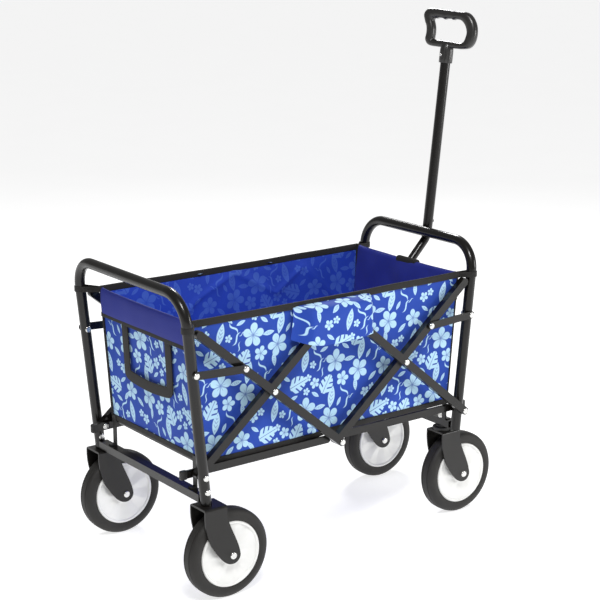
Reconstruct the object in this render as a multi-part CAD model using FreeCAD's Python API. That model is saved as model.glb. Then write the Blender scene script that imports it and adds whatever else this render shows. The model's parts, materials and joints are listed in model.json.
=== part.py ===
import FreeCAD, Part
import math
import os

from FreeCAD import Vector

# Folding beach cart. Millimetres. +X points to the pull handle (front), +Z is up.
# Shapes are drawn with X measured from the basket's middle; main() then moves them so that the
# origin is on the ground below the middle of the whole cart. "Near" is the -Y side, "far" is +Y.

# Driving dimensions: wheels and forks
TYRE_RADIUS = 92.0
TYRE_HALF_WIDTH = 19.5
HUB_RADIUS = 68.0
AXLE_RADIUS = 6.0
AXLE_OFFSET = 44.0
FORK_PLATE_GAP = 24.0
FORK_PLATE = 3.0
FORK_TOP = 4.0
FORK_TOP_Z = 200.0
FORK_END_RADIUS = 17.5
FORK_BEND = 5.0
CASTER_Y = 138.5

# Driving dimensions: end frames
TUBE_RADIUS = 11.0
TUBE_WALL = 1.5
POST_X = 335.0
POST_REFERENCE_Z = 210.0
POST_SLOPE = 0.10
REAR_POST_Y = 205.0
FRONT_POST_Y = 182.5
BOW_TOP_Z = 622.0
BOW_BEND = 60.0
REAR_FOOT_Z = FORK_TOP_Z
FRONT_FOOT_Z = 212.0
CROSS_WIDTH = 20.0
CROSS_HEIGHT = 16.0
REAR_CROSS_Z = 204.0
REAR_STAY_RIVET_Z = 229.0

# Driving dimensions: scissor linkage
PIVOT_LOW_Z = 259.0
PIVOT_HIGH_Z = 541.0
BAR_WIDTH = 17.0
BAR_WALL = 1.2
BAR_TOP_EXTENSION = 5.0
INNER_PLANE = (-193.0, -179.0)
OUTER_PLANE = (-208.5, -194.5)
RIVET_RADIUS = 3.0
RIVET_HEAD_RADIUS = 6.5
RIVET_HEAD_HEIGHT = 2.5
HEAD_ROUNDING = 0.8
AXLE_HEAD_RADIUS = 7.5
AXLE_HEAD_HEIGHT = 3.5
RUNNING_GAP = 0.05
LINK_POST_Z = 470.0
LINK_BAR_X = 247.0
LINK_WIDTH = 16.0
LINK_THICKNESS = 3.0
REAR_RAIL_PLANE = (-176.0, -171.0)
FRONT_RAIL_PLANE = (-170.0, -165.0)
RAIL_HEIGHT = 16.0
RAIL_OVERHANG = 20.0
RAIL_MIDDLE_GAP = 6.0

# Driving dimensions: basket
FLOOR_RAIL_X = 318.0
FLOOR_RAIL_Z = 275.0
FLOOR_RAIL_RADIUS = 7.0
FLOOR_RAIL_HALF = 162.0
PANEL = 3.0
RIM_Z = 551.0
RIM_HEIGHT = 14.0
RIM_WIDTH = 7.0
SIDE_OUTER_LOW_Y = 167.0
SIDE_OUTER_HIGH_Y = 174.0
END_OUTER_LOW_X = 324.0
END_OUTER_HIGH_X = 340.0
END_LOW_Z = 283.0
END_HALF_WIDTH = 163.0

# Driving dimensions: pull handle
HANDLE_PIVOT = Vector(364, 0, 222)
HANDLE_LOW_BEND = Vector(351.5, 0, 552)
HANDLE_HIGH_BEND = Vector(400, 0, 602)
HANDLE_SLOPE = 0.1175
HANDLE_TAIL = 11.0
HANDLE_PIN_RADIUS = 4.0
LOWER_TUBE_RADIUS = 9.5
LOWER_TUBE_TOP = 345.0
UPPER_TUBE_START = 12.0
UPPER_TUBE_END = 418.0
HANDLE_TRAVEL = 280.0
BUTTON_RADIUS = 4.0
BUTTON_AT = 38.0
COLLAR_START = 390.0
COLLAR_END = 424.0
GRIP_TURN = -70.0

# From the basket's middle to the whole cart's middle, which the handle brings forward
BASKET_TO_CART_MIDDLE = 49.0

UP = Vector(0, 0, 1)
ACROSS = Vector(0, 1, 0)
LEAN = math.degrees(math.atan(POST_SLOPE))
TILT = math.degrees(math.atan(HANDLE_SLOPE))


def post_x(z):
    """Distance of a post's axis from the middle of the cart at height z."""
    return POST_X + POST_SLOPE * (z - POST_REFERENCE_Z)


def box(x0, x1, y0, y1, z0, z1):
    """Box between two opposite corners."""
    return Part.makeBox(x1 - x0, y1 - y0, z1 - z0, Vector(x0, y0, z0))


def rod_y(radius, x, z, y0, y1):
    """Round rod along Y."""
    return Part.makeCylinder(radius, y1 - y0, Vector(x, y0, z), ACROSS)


def rod_z(radius, x, y, z0, z1):
    """Round rod along Z."""
    return Part.makeCylinder(radius, z1 - z0, Vector(x, y, z0), UP)


def mirrored(shape):
    """The same shape on the far side of the cart."""
    return shape.mirror(Vector(0, 0, 0), ACROSS)


def turned_around(shape):
    """The same shape at the other end of the cart."""
    return shape.mirror(Vector(0, 0, 0), Vector(1, 0, 0))


def prism_y(points, y0, y1):
    """Prism along Y with the outline given as (x, z) points."""
    corners = [Vector(x, y0, z) for x, z in points]
    outline = Part.makePolygon(corners + corners[:1])
    return Part.Face(outline).extrude(Vector(0, y1 - y0, 0))


def slot_prism(start, end, half_width, y0, y1):
    """Bar with round ends between two (x, z) points, filling y0 to y1."""
    a = Vector(start[0], y0, start[1])
    b = Vector(end[0], y0, end[1])
    run = (b - a).normalize() * half_width
    side = Vector(-run.z, 0, run.x)
    edges = [
        Part.makeLine(a + side, b + side),
        Part.Arc(b + side, b + run, b - side).toShape(),
        Part.makeLine(b - side, a - side),
        Part.Arc(a - side, a - run, a + side).toShape(),
    ]
    return Part.Face(Part.Wire(edges)).extrude(Vector(0, y1 - y0, 0))


def rounded_path(points, radius):
    """Wire of straight runs joined by arcs of one radius."""
    edges = []
    start = points[0]
    for corner, following in zip(points[1:], points[2:]):
        incoming = (corner - start).normalize()
        outgoing = (following - corner).normalize()
        turn = incoming.getAngle(outgoing)
        setback = radius * math.tan(turn / 2)
        arc_start = corner - incoming * setback
        arc_end = corner + outgoing * setback
        bisector = (outgoing - incoming).normalize()
        middle = corner + bisector * (radius / math.cos(turn / 2) - radius)
        edges.append(Part.makeLine(start, arc_start))
        edges.append(Part.Arc(arc_start, middle, arc_end).toShape())
        start = arc_end
    edges.append(Part.makeLine(start, points[-1]))
    return Part.Wire(edges)


def swept_rod(points, bend, radius):
    """Solid round rod along a path with rounded corners."""
    path = rounded_path(points, bend)
    circle = Part.Circle(points[0], points[1] - points[0], radius).toShape()
    return path.makePipeShell([Part.Wire([circle])], True, False)


def swept_tube(points, bend, radius, wall):
    """Hollow round tube along a path with rounded corners."""
    return swept_rod(points, bend, radius).cut(swept_rod(points, bend, radius - wall))


def domed_head(radius, height, x, z, y, outward):
    """Round-edged head on the face at y, standing out along outward (+1 or -1)."""
    crest = y + outward * height
    low, high = sorted((y, crest))
    head = rod_y(radius, x, z, low, high)
    rim = [edge for edge in head.Edges if abs(edge.CenterOfMass.y - crest) < 0.01]
    return head.makeFillet(height * HEAD_ROUNDING, rim)


def rivet_head(x, z, y, outward):
    """Domed rivet head on the face at y."""
    return domed_head(RIVET_HEAD_RADIUS, RIVET_HEAD_HEIGHT, x, z, y, outward)


def rivet(x, z, y_outer, y_inner):
    """Rivet along Y with a head outside y_outer and another inside y_inner (near side)."""
    shank = rod_y(RIVET_RADIUS, x, z, y_outer, y_inner)
    heads = [rivet_head(x, z, y_outer, -1), rivet_head(x, z, y_inner, 1)]
    return shank.multiFuse(heads).removeSplitter()


def rivet_hole(x, z, y0, y1):
    """Cutter for a rivet with running clearance."""
    return rod_y(RIVET_RADIUS + RUNNING_GAP, x, z, y0, y1)


# ---------------------------------------------------------------- end frames

def bow(post_y, foot_z, end, rivet_heights):
    """Inverted U tube. end is +1 for the front and -1 for the rear. Its posts lean outwards."""
    slope_length = math.hypot(1, POST_SLOPE)
    top = (BOW_TOP_Z - POST_REFERENCE_Z) * slope_length
    bottom = (foot_z - POST_REFERENCE_Z) * slope_length - 2 * TUBE_RADIUS
    points = [
        Vector(0, -post_y, bottom),
        Vector(0, -post_y, top),
        Vector(0, post_y, top),
        Vector(0, post_y, bottom),
    ]
    tube = swept_tube(points, BOW_BEND, TUBE_RADIUS, TUBE_WALL)
    tube.rotate(Vector(0, 0, 0), ACROSS, end * LEAN)
    tube.translate(Vector(end * POST_X, 0, POST_REFERENCE_Z))
    tube = tube.cut(box(-500, 500, -300, 300, 0, foot_z))
    for z in rivet_heights:
        tube = tube.cut(rivet_hole(end * post_x(z), z, -300, 300))
    return tube


def cross_member(x, half_length, bottom_z):
    """Rectangular tube between the two posts of an end frame."""
    half = CROSS_WIDTH / 2
    wall = TUBE_WALL
    outer = box(x - half, x + half, -half_length, half_length, bottom_z, bottom_z + CROSS_HEIGHT)
    inner = box(x - half + wall, x + half - wall, -half_length, half_length,
                bottom_z + wall, bottom_z + CROSS_HEIGHT - wall)
    return outer.cut(inner)


def floor_rail(end):
    """Tube in the bottom hem of an end panel."""
    x = end * FLOOR_RAIL_X
    rail = rod_y(FLOOR_RAIL_RADIUS, x, FLOOR_RAIL_Z, -FLOOR_RAIL_HALF, FLOOR_RAIL_HALF)
    bore = rod_y(FLOOR_RAIL_RADIUS - BAR_WALL, x, FLOOR_RAIL_Z, -FLOOR_RAIL_HALF, FLOOR_RAIL_HALF)
    return rail.cut(bore)


def floor_brackets(end, cross_top_z):
    """Pair of L plates that carry a floor rail on the cross member."""
    face = FLOOR_RAIL_X + FLOOR_RAIL_RADIUS
    outer_y = 1 - FLOOR_RAIL_HALF
    inner_y = outer_y + 12
    plate = box(face, face + PANEL, outer_y, inner_y, cross_top_z, FLOOR_RAIL_Z + 10)
    foot = box(face, face + 14, outer_y, inner_y, cross_top_z, cross_top_z + PANEL)
    bracket = plate.fuse(foot).removeSplitter()
    if end < 0:
        bracket = turned_around(bracket)
    return Part.makeCompound([bracket, mirrored(bracket)])


# ---------------------------------------------------------------- wheels

def fork_outline(foot_x, axle_x):
    """Side view of a fork plate: broad at the top, sweeping forward to a round end."""
    def edge(points):
        curve = Part.BSplineCurve()
        curve.interpolate([Vector(x, 0, z) for x, z in points])
        return curve.toShape()

    radius = FORK_END_RADIUS
    turn = math.radians(45)
    front = edge([
        (foot_x + 32, FORK_TOP_Z),
        (foot_x + 35, FORK_TOP_Z - 35),
        (foot_x + 46, FORK_TOP_Z - 62),
        (foot_x + 57, FORK_TOP_Z - 89),
        (axle_x + radius, TYRE_RADIUS),
    ])
    end = Part.Arc(
        Vector(axle_x + radius, 0, TYRE_RADIUS),
        Vector(axle_x + radius * math.cos(turn), 0, TYRE_RADIUS - radius * math.sin(turn)),
        Vector(axle_x, 0, TYRE_RADIUS - radius),
    ).toShape()
    rear = edge([
        (axle_x, TYRE_RADIUS - radius),
        (foot_x + 27, TYRE_RADIUS - 12),
        (foot_x + 15, TYRE_RADIUS),
        (foot_x + 4, TYRE_RADIUS + 15),
        (foot_x - 6, TYRE_RADIUS + 30),
        (foot_x - 15, TYRE_RADIUS + 53),
        (foot_x - 20, TYRE_RADIUS + 80),
        (foot_x - 20, FORK_TOP_Z),
    ])
    top = Part.makeLine(Vector(foot_x - 20, 0, FORK_TOP_Z), Vector(foot_x + 32, 0, FORK_TOP_Z))
    return Part.Wire([front, end, rear, top])


def fork_channel(foot_x, y):
    """Inverted U channel, bent over its top edges, that the fork is stamped from."""
    reach = FORK_PLATE_GAP + FORK_PLATE
    outer = box(foot_x - 60, foot_x + 100, y - reach, y + reach, 50, FORK_TOP_Z)
    bends = [
        edge for edge in outer.Edges
        if edge.BoundBox.ZMin > FORK_TOP_Z - 1 and edge.BoundBox.XLength > 100
    ]
    outer = outer.makeFillet(FORK_BEND, bends)
    inner = box(foot_x - 61, foot_x + 101, y - FORK_PLATE_GAP, y + FORK_PLATE_GAP,
                49, FORK_TOP_Z - FORK_TOP)
    return outer.cut(inner)


def fork(foot_x, y):
    """Stamped fork: two side plates bent down from one top plate."""
    axle_x = foot_x + AXLE_OFFSET
    outline = Part.Face(fork_outline(foot_x, axle_x))
    outline.translate(Vector(0, y - 30, 0))
    body = fork_channel(foot_x, y).common(outline.extrude(Vector(0, 60, 0)))
    return body.cut(rod_y(AXLE_RADIUS + RUNNING_GAP, axle_x, TYRE_RADIUS, y - 40, y + 40))


def axle(x, y):
    """Axle through a fork and its wheel, with a domed head at each end."""
    reach = FORK_PLATE_GAP + FORK_PLATE
    shank = rod_y(AXLE_RADIUS, x, TYRE_RADIUS, y - reach, y + reach)
    heads = [
        domed_head(AXLE_HEAD_RADIUS, AXLE_HEAD_HEIGHT, x, TYRE_RADIUS, y + side * reach, side)
        for side in (-1, 1)
    ]
    return shank.multiFuse(heads).removeSplitter()


def turned_about_axle(profile, x, y):
    """Revolve a wire of (radius, across) edges about the axle line and put it at x, y."""
    face = Part.Face(profile)
    solid = face.revolve(Vector(0, 0, 0), ACROSS, 360)
    solid.translate(Vector(x, y, TYRE_RADIUS))
    return solid


def tyre(x, y):
    """Solid tyre with a crowned tread."""
    width = TYRE_HALF_WIDTH
    shoulder = TYRE_RADIUS - 8
    crown = Part.Arc(Vector(shoulder, -width, 0), Vector(TYRE_RADIUS, 0, 0),
                     Vector(shoulder, width, 0)).toShape()
    inside = Part.makePolygon([
        Vector(shoulder, width, 0),
        Vector(HUB_RADIUS + 6, width + 1, 0),
        Vector(HUB_RADIUS, width - 1, 0),
        Vector(HUB_RADIUS, 1 - width, 0),
        Vector(HUB_RADIUS + 6, -width - 1, 0),
        Vector(shoulder, -width, 0),
    ])
    return turned_about_axle(Part.Wire([crown] + inside.Edges), x, y)


def hub(x, y):
    """Wheel disc with a raised rim, a shallow dish and a boss."""
    half_profile = [
        (AXLE_RADIUS + RUNNING_GAP, 22),
        (13, 22),
        (15, 16),
        (60, 13),
        (62, 17.5),
        (HUB_RADIUS, 17.5),
    ]
    points = [Vector(radius, across, 0) for radius, across in half_profile]
    points += [Vector(radius, -across, 0) for radius, across in reversed(half_profile)]
    return turned_about_axle(Part.makePolygon(points + points[:1]), x, y)


def caster_bearing(x, y):
    """Housing of a caster's swivel bearing, under the cross member."""
    race = rod_z(20, x, y, FORK_TOP_Z + 0.5, FORK_TOP_Z + 7)
    neck = rod_z(13, x, y, FORK_TOP_Z + 7, FRONT_FOOT_Z)
    bore = rod_z(5 + RUNNING_GAP, x, y, 100, 300)
    return race.fuse(neck).removeSplitter().cut(bore)


def kingpin(x, y):
    """Bolt that holds a caster, with its head under the fork and a nut on the cross member."""
    cross_top = FRONT_FOOT_Z + CROSS_HEIGHT
    shank = rod_z(5, x, y, FORK_TOP_Z - 4, cross_top)
    head = rod_z(9, x, y, FORK_TOP_Z - 9, FORK_TOP_Z - 4.2)
    nut = rod_z(9, x, y, cross_top, cross_top + 5)
    end = rod_z(5, x, y, FORK_TOP_Z - 5, FORK_TOP_Z - 4)
    return shank.multiFuse([head, end, nut]).removeSplitter()


def caster_fork(x, y):
    """Fork with the kingpin hole in its top plate."""
    return fork(x, y).cut(rod_z(5 + RUNNING_GAP, x, y, FORK_TOP_Z - 10, FORK_TOP_Z + 5))


# ---------------------------------------------------------------- scissor linkage

END_X = post_x(PIVOT_LOW_Z)
HALF_X = END_X / 2
MIDDLE_Z = (PIVOT_LOW_Z + PIVOT_HIGH_Z) / 2


def scissor_bar(start, end, plane, holes):
    """Hollow flat-sided bar with round ends in one plane of the near side."""
    y0, y1 = plane
    half = BAR_WIDTH / 2
    bar = slot_prism(start, end, half, y0, y1)
    bar = bar.cut(slot_prism(start, end, half - BAR_WALL, y0 + BAR_WALL, y1 - BAR_WALL))
    for x, z in holes:
        bar = bar.cut(rivet_hole(x, z, y0 - 1, y1 + 1))
    return bar


def point_on_rising_bar(x):
    """Height of the bar that rises from the bottom middle joint to a top corner."""
    return PIVOT_LOW_Z + (PIVOT_HIGH_Z - PIVOT_LOW_Z) * x / END_X


def bar_from_middle(end, plane):
    """Bar from the bottom middle joint up to the top corner at one end."""
    reach = 1 + BAR_TOP_EXTENSION / math.hypot(END_X, PIVOT_HIGH_Z - PIVOT_LOW_Z)
    top = (end * END_X * reach, PIVOT_LOW_Z + (PIVOT_HIGH_Z - PIVOT_LOW_Z) * reach)
    holes = [(0, PIVOT_LOW_Z), (end * HALF_X, MIDDLE_Z)]
    return scissor_bar((0, PIVOT_LOW_Z), top, plane, holes)


def bar_from_post(end, plane):
    """Bar from a post's low pivot up to the top middle joint."""
    low = (end * END_X, PIVOT_LOW_Z)
    high = (0, PIVOT_HIGH_Z)
    return scissor_bar(low, high, plane, [low, high, (end * HALF_X, MIDDLE_Z)])


def link(end, y_outer, stub_end):
    """Strap from a post to the bar that rises to the corner, with a pressed stud at the bar."""
    y_inner = y_outer + LINK_THICKNESS
    post = (end * post_x(LINK_POST_Z), LINK_POST_Z)
    bar = (end * LINK_BAR_X, point_on_rising_bar(LINK_BAR_X))
    strap = slot_prism(post, bar, LINK_WIDTH / 2, y_outer, y_inner)
    strap = strap.cut(rivet_hole(post[0], post[1], y_outer - 1, y_inner + 1))
    stud = rod_y(RIVET_RADIUS, bar[0], bar[1], y_inner, stub_end)
    return strap.multiFuse([stud, rivet_head(bar[0], bar[1], y_outer, -1)]).removeSplitter()


def bottom_rail(end, plane):
    """Flat bar of the folding floor frame, from a post's low pivot to the middle."""
    start = (end * (END_X + RAIL_OVERHANG), PIVOT_LOW_Z)
    finish = (end * (RAIL_MIDDLE_GAP + RAIL_HEIGHT / 2), PIVOT_LOW_Z)
    rail = slot_prism(start, finish, RAIL_HEIGHT / 2, plane[0], plane[1])
    return rail.cut(rivet_hole(end * END_X, PIVOT_LOW_Z, plane[0] - 1, plane[1] + 1))


# ---------------------------------------------------------------- pull handle

def place_on_shaft(shape, distance):
    """Move a shape drawn about +Z from the origin to a distance up the handle's shaft."""
    shape.rotate(Vector(0, 0, 0), ACROSS, TILT)
    direction = Vector(HANDLE_SLOPE, 0, 1).normalize()
    shape.translate(HANDLE_HIGH_BEND + direction * distance)
    return shape


def handle_clevis():
    """Pair of ears, welded to the front cross member, that hold the handle's pivot pin."""
    face = post_x(FRONT_FOOT_Z) + CROSS_WIDTH / 2
    base = box(face, face + 2, -14, 14, FRONT_FOOT_Z, FRONT_FOOT_Z + CROSS_HEIGHT)
    outline = [
        (face, FRONT_FOOT_Z),
        (face, FRONT_FOOT_Z + CROSS_HEIGHT),
        (HANDLE_PIVOT.x, HANDLE_PIVOT.z + 9),
        (HANDLE_PIVOT.x, HANDLE_PIVOT.z - 9),
    ]
    ears = []
    for y0, y1 in ((-14, -11), (11, 14)):
        ear = prism_y(outline, y0, y1)
        ears.append(ear.fuse(rod_y(9, HANDLE_PIVOT.x, HANDLE_PIVOT.z, y0, y1)))
    clevis = base.multiFuse(ears).removeSplitter()
    bore = rod_y(HANDLE_PIN_RADIUS + RUNNING_GAP, HANDLE_PIVOT.x, HANDLE_PIVOT.z, -20, 20)
    return clevis.cut(bore)


def handle_pin():
    """Pivot pin of the pull handle."""
    x, z = HANDLE_PIVOT.x, HANDLE_PIVOT.z
    shank = rod_y(HANDLE_PIN_RADIUS, x, z, -14, 14)
    return shank.multiFuse([rod_y(7, x, z, -17, -14), rod_y(7, x, z, 14, 17)]).removeSplitter()


def handle_lower_tube():
    """Bent tube that passes under the bow, with a guide slot for the button's pin."""
    rise = (HANDLE_LOW_BEND - HANDLE_PIVOT).normalize()
    shaft = Vector(HANDLE_SLOPE, 0, 1).normalize()
    points = [
        HANDLE_PIVOT - rise * HANDLE_TAIL,
        HANDLE_LOW_BEND,
        HANDLE_HIGH_BEND,
        HANDLE_HIGH_BEND + shaft * LOWER_TUBE_TOP,
    ]
    tube = swept_tube(points, 28, LOWER_TUBE_RADIUS, TUBE_WALL)
    bore = rod_y(HANDLE_PIN_RADIUS + RUNNING_GAP, HANDLE_PIVOT.x, HANDLE_PIVOT.z, -20, 20)
    half_slot = BUTTON_RADIUS + 0.2
    slot = Part.makeBox(LOWER_TUBE_RADIUS + 2, 2 * half_slot, HANDLE_TRAVEL + 2 * half_slot,
                        Vector(2, -half_slot, BUTTON_AT - half_slot))
    return tube.cut(bore).cut(place_on_shaft(slot, 0))


def handle_upper_tube():
    """Outer tube of the telescoping shaft."""
    length = UPPER_TUBE_END - UPPER_TUBE_START
    tube = Part.makeCylinder(TUBE_RADIUS, length, Vector(0, 0, UPPER_TUBE_START))
    bore = Part.makeCylinder(LOWER_TUBE_RADIUS + RUNNING_GAP, length, Vector(0, 0, UPPER_TUBE_START))
    button_hole = Part.makeCylinder(BUTTON_RADIUS + RUNNING_GAP, 20, Vector(2, 0, BUTTON_AT),
                                    Vector(1, 0, 0))
    return place_on_shaft(tube.cut(bore).cut(button_hole), 0)


def handle_button():
    """Spring button whose pin runs in the lower tube's slot."""
    pin = Part.makeCylinder(BUTTON_RADIUS, 7.5, Vector(7.0, 0, BUTTON_AT), Vector(1, 0, 0))
    crown = [edge for edge in pin.Edges if abs(edge.CenterOfMass.x - 14.5) < 0.01]
    return place_on_shaft(pin.makeFillet(1.2, crown), 0)


def rounded_outline(points, radius):
    """Closed wire in the XZ plane through (x, z) corners, each rounded by an arc of one radius."""
    corners = [Vector(x, 0, z) for x, z in points]
    arcs = []
    for index, corner in enumerate(corners):
        incoming = (corner - corners[index - 1]).normalize()
        outgoing = (corners[(index + 1) % len(corners)] - corner).normalize()
        turn = incoming.getAngle(outgoing)
        setback = radius * math.tan(turn / 2)
        middle = corner + (outgoing - incoming).normalize() * (radius / math.cos(turn / 2) - radius)
        arcs.append((corner - incoming * setback, middle, corner + outgoing * setback))
    edges = []
    for index, (start, middle, end) in enumerate(arcs):
        edges.append(Part.makeLine(arcs[index - 1][2], start))
        edges.append(Part.Arc(start, middle, end).toShape())
    return Part.Wire(edges)


def handle_grip():
    """D grip with its collar. The curved leg is on the near side."""
    outer = [(-54, 0), (58, 0), (70, 30), (60, 62), (36, 81), (-64, 81), (-54, 38)]
    opening = [(-31, 14), (38, 14), (45, 36), (36, 52), (18, 61), (-34, 61)]
    half_thickness = 10.0
    depth = Vector(0, 2 * half_thickness, 0)
    ring = Part.Face(rounded_outline(outer, 14)).extrude(depth)
    ring = ring.cut(Part.Face(rounded_outline(opening, 7)).extrude(depth))
    ring.translate(Vector(0, -half_thickness, 0))
    rims = [edge for edge in ring.Edges
            if abs(abs(edge.CenterOfMass.y) - half_thickness) < 0.01]
    ring = ring.makeFillet(5.0, rims)
    ring.translate(Vector(0, 0, COLLAR_END - 1))
    collar = Part.makeCylinder(15, COLLAR_END - COLLAR_START, Vector(0, 0, COLLAR_START))
    grip = ring.fuse(collar).removeSplitter()
    socket = Part.makeCylinder(TUBE_RADIUS + RUNNING_GAP, UPPER_TUBE_END - COLLAR_START,
                               Vector(0, 0, COLLAR_START))
    grip = grip.cut(socket)
    grip.rotate(Vector(0, 0, 0), UP, GRIP_TURN)
    return place_on_shaft(grip, 0)


# ---------------------------------------------------------------- basket

def end_outer_x(z):
    """Outer face of an end panel at height z."""
    share = (z - END_LOW_Z) / (RIM_Z - END_LOW_Z)
    return END_OUTER_LOW_X + share * (END_OUTER_HIGH_X - END_OUTER_LOW_X)


def sloping_plate(end, offset, thickness, y0, y1, z0, z1):
    """Plate parallel to an end panel, its inner face at offset from the panel's outer face."""
    outline = [
        (end * (end_outer_x(z0) + offset), z0),
        (end * (end_outer_x(z0) + offset + thickness), z0),
        (end * (end_outer_x(z1) + offset + thickness), z1),
        (end * (end_outer_x(z1) + offset), z1),
    ]
    return prism_y(outline, y0, y1)


def end_panel(end):
    """Fabric wall at one end."""
    return sloping_plate(end, -PANEL, PANEL, -END_HALF_WIDTH, END_HALF_WIDTH, END_LOW_Z, RIM_Z)


def side_panel():
    """Fabric wall on the near side, leaning a little outwards."""
    low_z = 271.0

    def outline(half_length, outer_y, z):
        corners = [
            Vector(-half_length, -outer_y, z),
            Vector(half_length, -outer_y, z),
            Vector(half_length, PANEL - outer_y, z),
            Vector(-half_length, PANEL - outer_y, z),
        ]
        return Part.makePolygon(corners + corners[:1])

    bottom = outline(end_outer_x(low_z), SIDE_OUTER_LOW_Y, low_z)
    top = outline(end_outer_x(RIM_Z), SIDE_OUTER_HIGH_Y, RIM_Z)
    return Part.makeLoft([bottom, top], True, True)


def floor_panel():
    """Fabric floor between the two floor rails."""
    half = FLOOR_RAIL_X - FLOOR_RAIL_RADIUS - 0.5
    return box(-half, half, -END_HALF_WIDTH, END_HALF_WIDTH, 268.5, 270.5)


def base_pad():
    """Stiff base pad in four hinged boards, marked by fold grooves."""
    pad = box(-300, 300, -158, 158, 271, 279)
    for x in (-150, 0, 150):
        pad = pad.cut(box(x - 1.5, x + 1.5, -158, 158, 274, 279))
    return pad


def joint_flap():
    """Fabric flap that hangs over the top middle joint on the near side."""
    outline = [(-178, 553), (-214.5, 553), (-214.5, 475), (-212.5, 475), (-212.5, 551.2), (-178, 551.2)]
    corners = [Vector(-90, y, z) for y, z in outline]
    return Part.Face(Part.makePolygon(corners + corners[:1])).extrude(Vector(180, 0, 0))


def corner_tab(end, post_y):
    """Webbing tab with an eye round a post, reaching in to the basket's corner."""
    z0, z1 = RIM_Z + 2, RIM_Z + RIM_HEIGHT - 2
    x = post_x(RIM_Z + RIM_HEIGHT / 2)
    inner_y = SIDE_OUTER_HIGH_Y - 6
    corner_x = END_OUTER_HIGH_X - 2
    eye = rod_z(TUBE_RADIUS + 4, x, -post_y, z0, z1)
    arm = box(x - 8, x + 8, -post_y, -inner_y, z0, z1)
    reach = box(corner_x, x + 8, -inner_y - 8, -inner_y, z0, z1)
    tab = eye.multiFuse([arm, reach]).removeSplitter()
    if end < 0:
        tab = turned_around(tab)
    return tab


def post_clearance(end, post_y):
    """Cutter a little larger than a post."""
    direction = Vector(end * POST_SLOPE, 0, 1).normalize()
    start = Vector(end * post_x(400), -post_y, 400)
    return Part.makeCylinder(TUBE_RADIUS + 0.3, 250, start, direction)


def rim_binding(end, members, post_y):
    """Binding along the rim members given, joined to a corner tab on each side."""
    tab = corner_tab(end, post_y).cut(post_clearance(end, post_y))
    pieces = members[1:] + [tab, mirrored(tab)]
    return members[0].multiFuse(pieces).removeSplitter()


def rear_rim_binding():
    """Binding of both long sides and the rear end."""
    top = RIM_Z + RIM_HEIGHT
    outer_y = SIDE_OUTER_HIGH_Y + 4
    outer_x = END_OUTER_HIGH_X + 2
    front_x = END_OUTER_HIGH_X - RIM_WIDTH
    near = box(-outer_x, front_x, -outer_y, RIM_WIDTH - outer_y, RIM_Z, top)
    rear = box(-outer_x, RIM_WIDTH - outer_x, RIM_WIDTH - outer_y, outer_y - RIM_WIDTH, RIM_Z, top)
    return rim_binding(-1, [rear, near, mirrored(near)], REAR_POST_Y)


def front_rim_binding():
    """Binding of the front end."""
    half = SIDE_OUTER_HIGH_Y + 4
    start_x = END_OUTER_HIGH_X - RIM_WIDTH + 0.5
    front = box(start_x, start_x + RIM_WIDTH, -half, half, RIM_Z, RIM_Z + RIM_HEIGHT)
    return rim_binding(1, [front], FRONT_POST_Y)


def rear_strap():
    """U-shaped webbing handle sewn to the rear panel."""
    pieces = [
        sloping_plate(-1, 0.5, 2, -94, -70, 380, 508),
        sloping_plate(-1, 0.5, 2, 70, 94, 380, 508),
        sloping_plate(-1, 0.5, 2, -94, 94, 380, 404),
    ]
    return pieces[0].multiFuse(pieces[1:]).removeSplitter()


# ---------------------------------------------------------------- all nodes

def pair(shape):
    """A near piece and its far twin as two separate solids."""
    return Part.makeCompound([shape, mirrored(shape)])


def end_frame_nodes():
    """Nodes of the two end frames."""
    rear_cross_x = -post_x(REAR_CROSS_Z)
    front_cross_x = post_x(FRONT_FOOT_Z)
    link_x = post_x(LINK_POST_Z)
    rear_outer = -REAR_POST_Y - TUBE_RADIUS
    front_inner = -FRONT_POST_Y + TUBE_RADIUS
    rear_rivets = [
        rivet(-END_X, PIVOT_LOW_Z, rear_outer, REAR_RAIL_PLANE[1]),
        rivet(-link_x, LINK_POST_Z, rear_outer - 1 - LINK_THICKNESS, -REAR_POST_Y + TUBE_RADIUS),
        rivet(-post_x(REAR_STAY_RIVET_Z), REAR_STAY_RIVET_Z, rear_outer, -REAR_POST_Y + TUBE_RADIUS),
    ]
    front_rivets = [
        rivet(END_X, PIVOT_LOW_Z, OUTER_PLANE[0], FRONT_RAIL_PLANE[1]),
        rivet(link_x, LINK_POST_Z, OUTER_PLANE[1] - LINK_THICKNESS, front_inner),
    ]
    return {
        "rear_bow": bow(REAR_POST_Y, REAR_FOOT_Z, -1,
                        [PIVOT_LOW_Z, LINK_POST_Z, REAR_STAY_RIVET_Z]),
        "rear_cross_member": cross_member(rear_cross_x, REAR_POST_Y - TUBE_RADIUS - 0.5, REAR_CROSS_Z),
        "rear_floor_rail": floor_rail(-1),
        "rear_floor_brackets": floor_brackets(-1, REAR_CROSS_Z + CROSS_HEIGHT),
        "rear_pivot_rivets": Part.makeCompound(rear_rivets + [mirrored(r) for r in rear_rivets]),
        "front_bow": bow(FRONT_POST_Y, FRONT_FOOT_Z, 1, [PIVOT_LOW_Z, LINK_POST_Z]),
        "front_cross_member": front_cross(front_cross_x),
        "front_floor_rail": floor_rail(1),
        "front_floor_brackets": floor_brackets(1, FRONT_FOOT_Z + CROSS_HEIGHT),
        "front_pivot_rivets": Part.makeCompound(front_rivets + [mirrored(r) for r in front_rivets]),
        "handle_pivot_pin": handle_pin(),
    }


def front_cross(x):
    """Front cross member with its two kingpin holes and the handle's clevis."""
    member = cross_member(x, FRONT_POST_Y - TUBE_RADIUS - 0.5, FRONT_FOOT_Z)
    member = member.fuse(handle_clevis())
    for y in (-CASTER_Y, CASTER_Y):
        member = member.cut(rod_z(5 + RUNNING_GAP, x, y, FRONT_FOOT_Z - 5, FRONT_FOOT_Z + 30))
    return member


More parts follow.
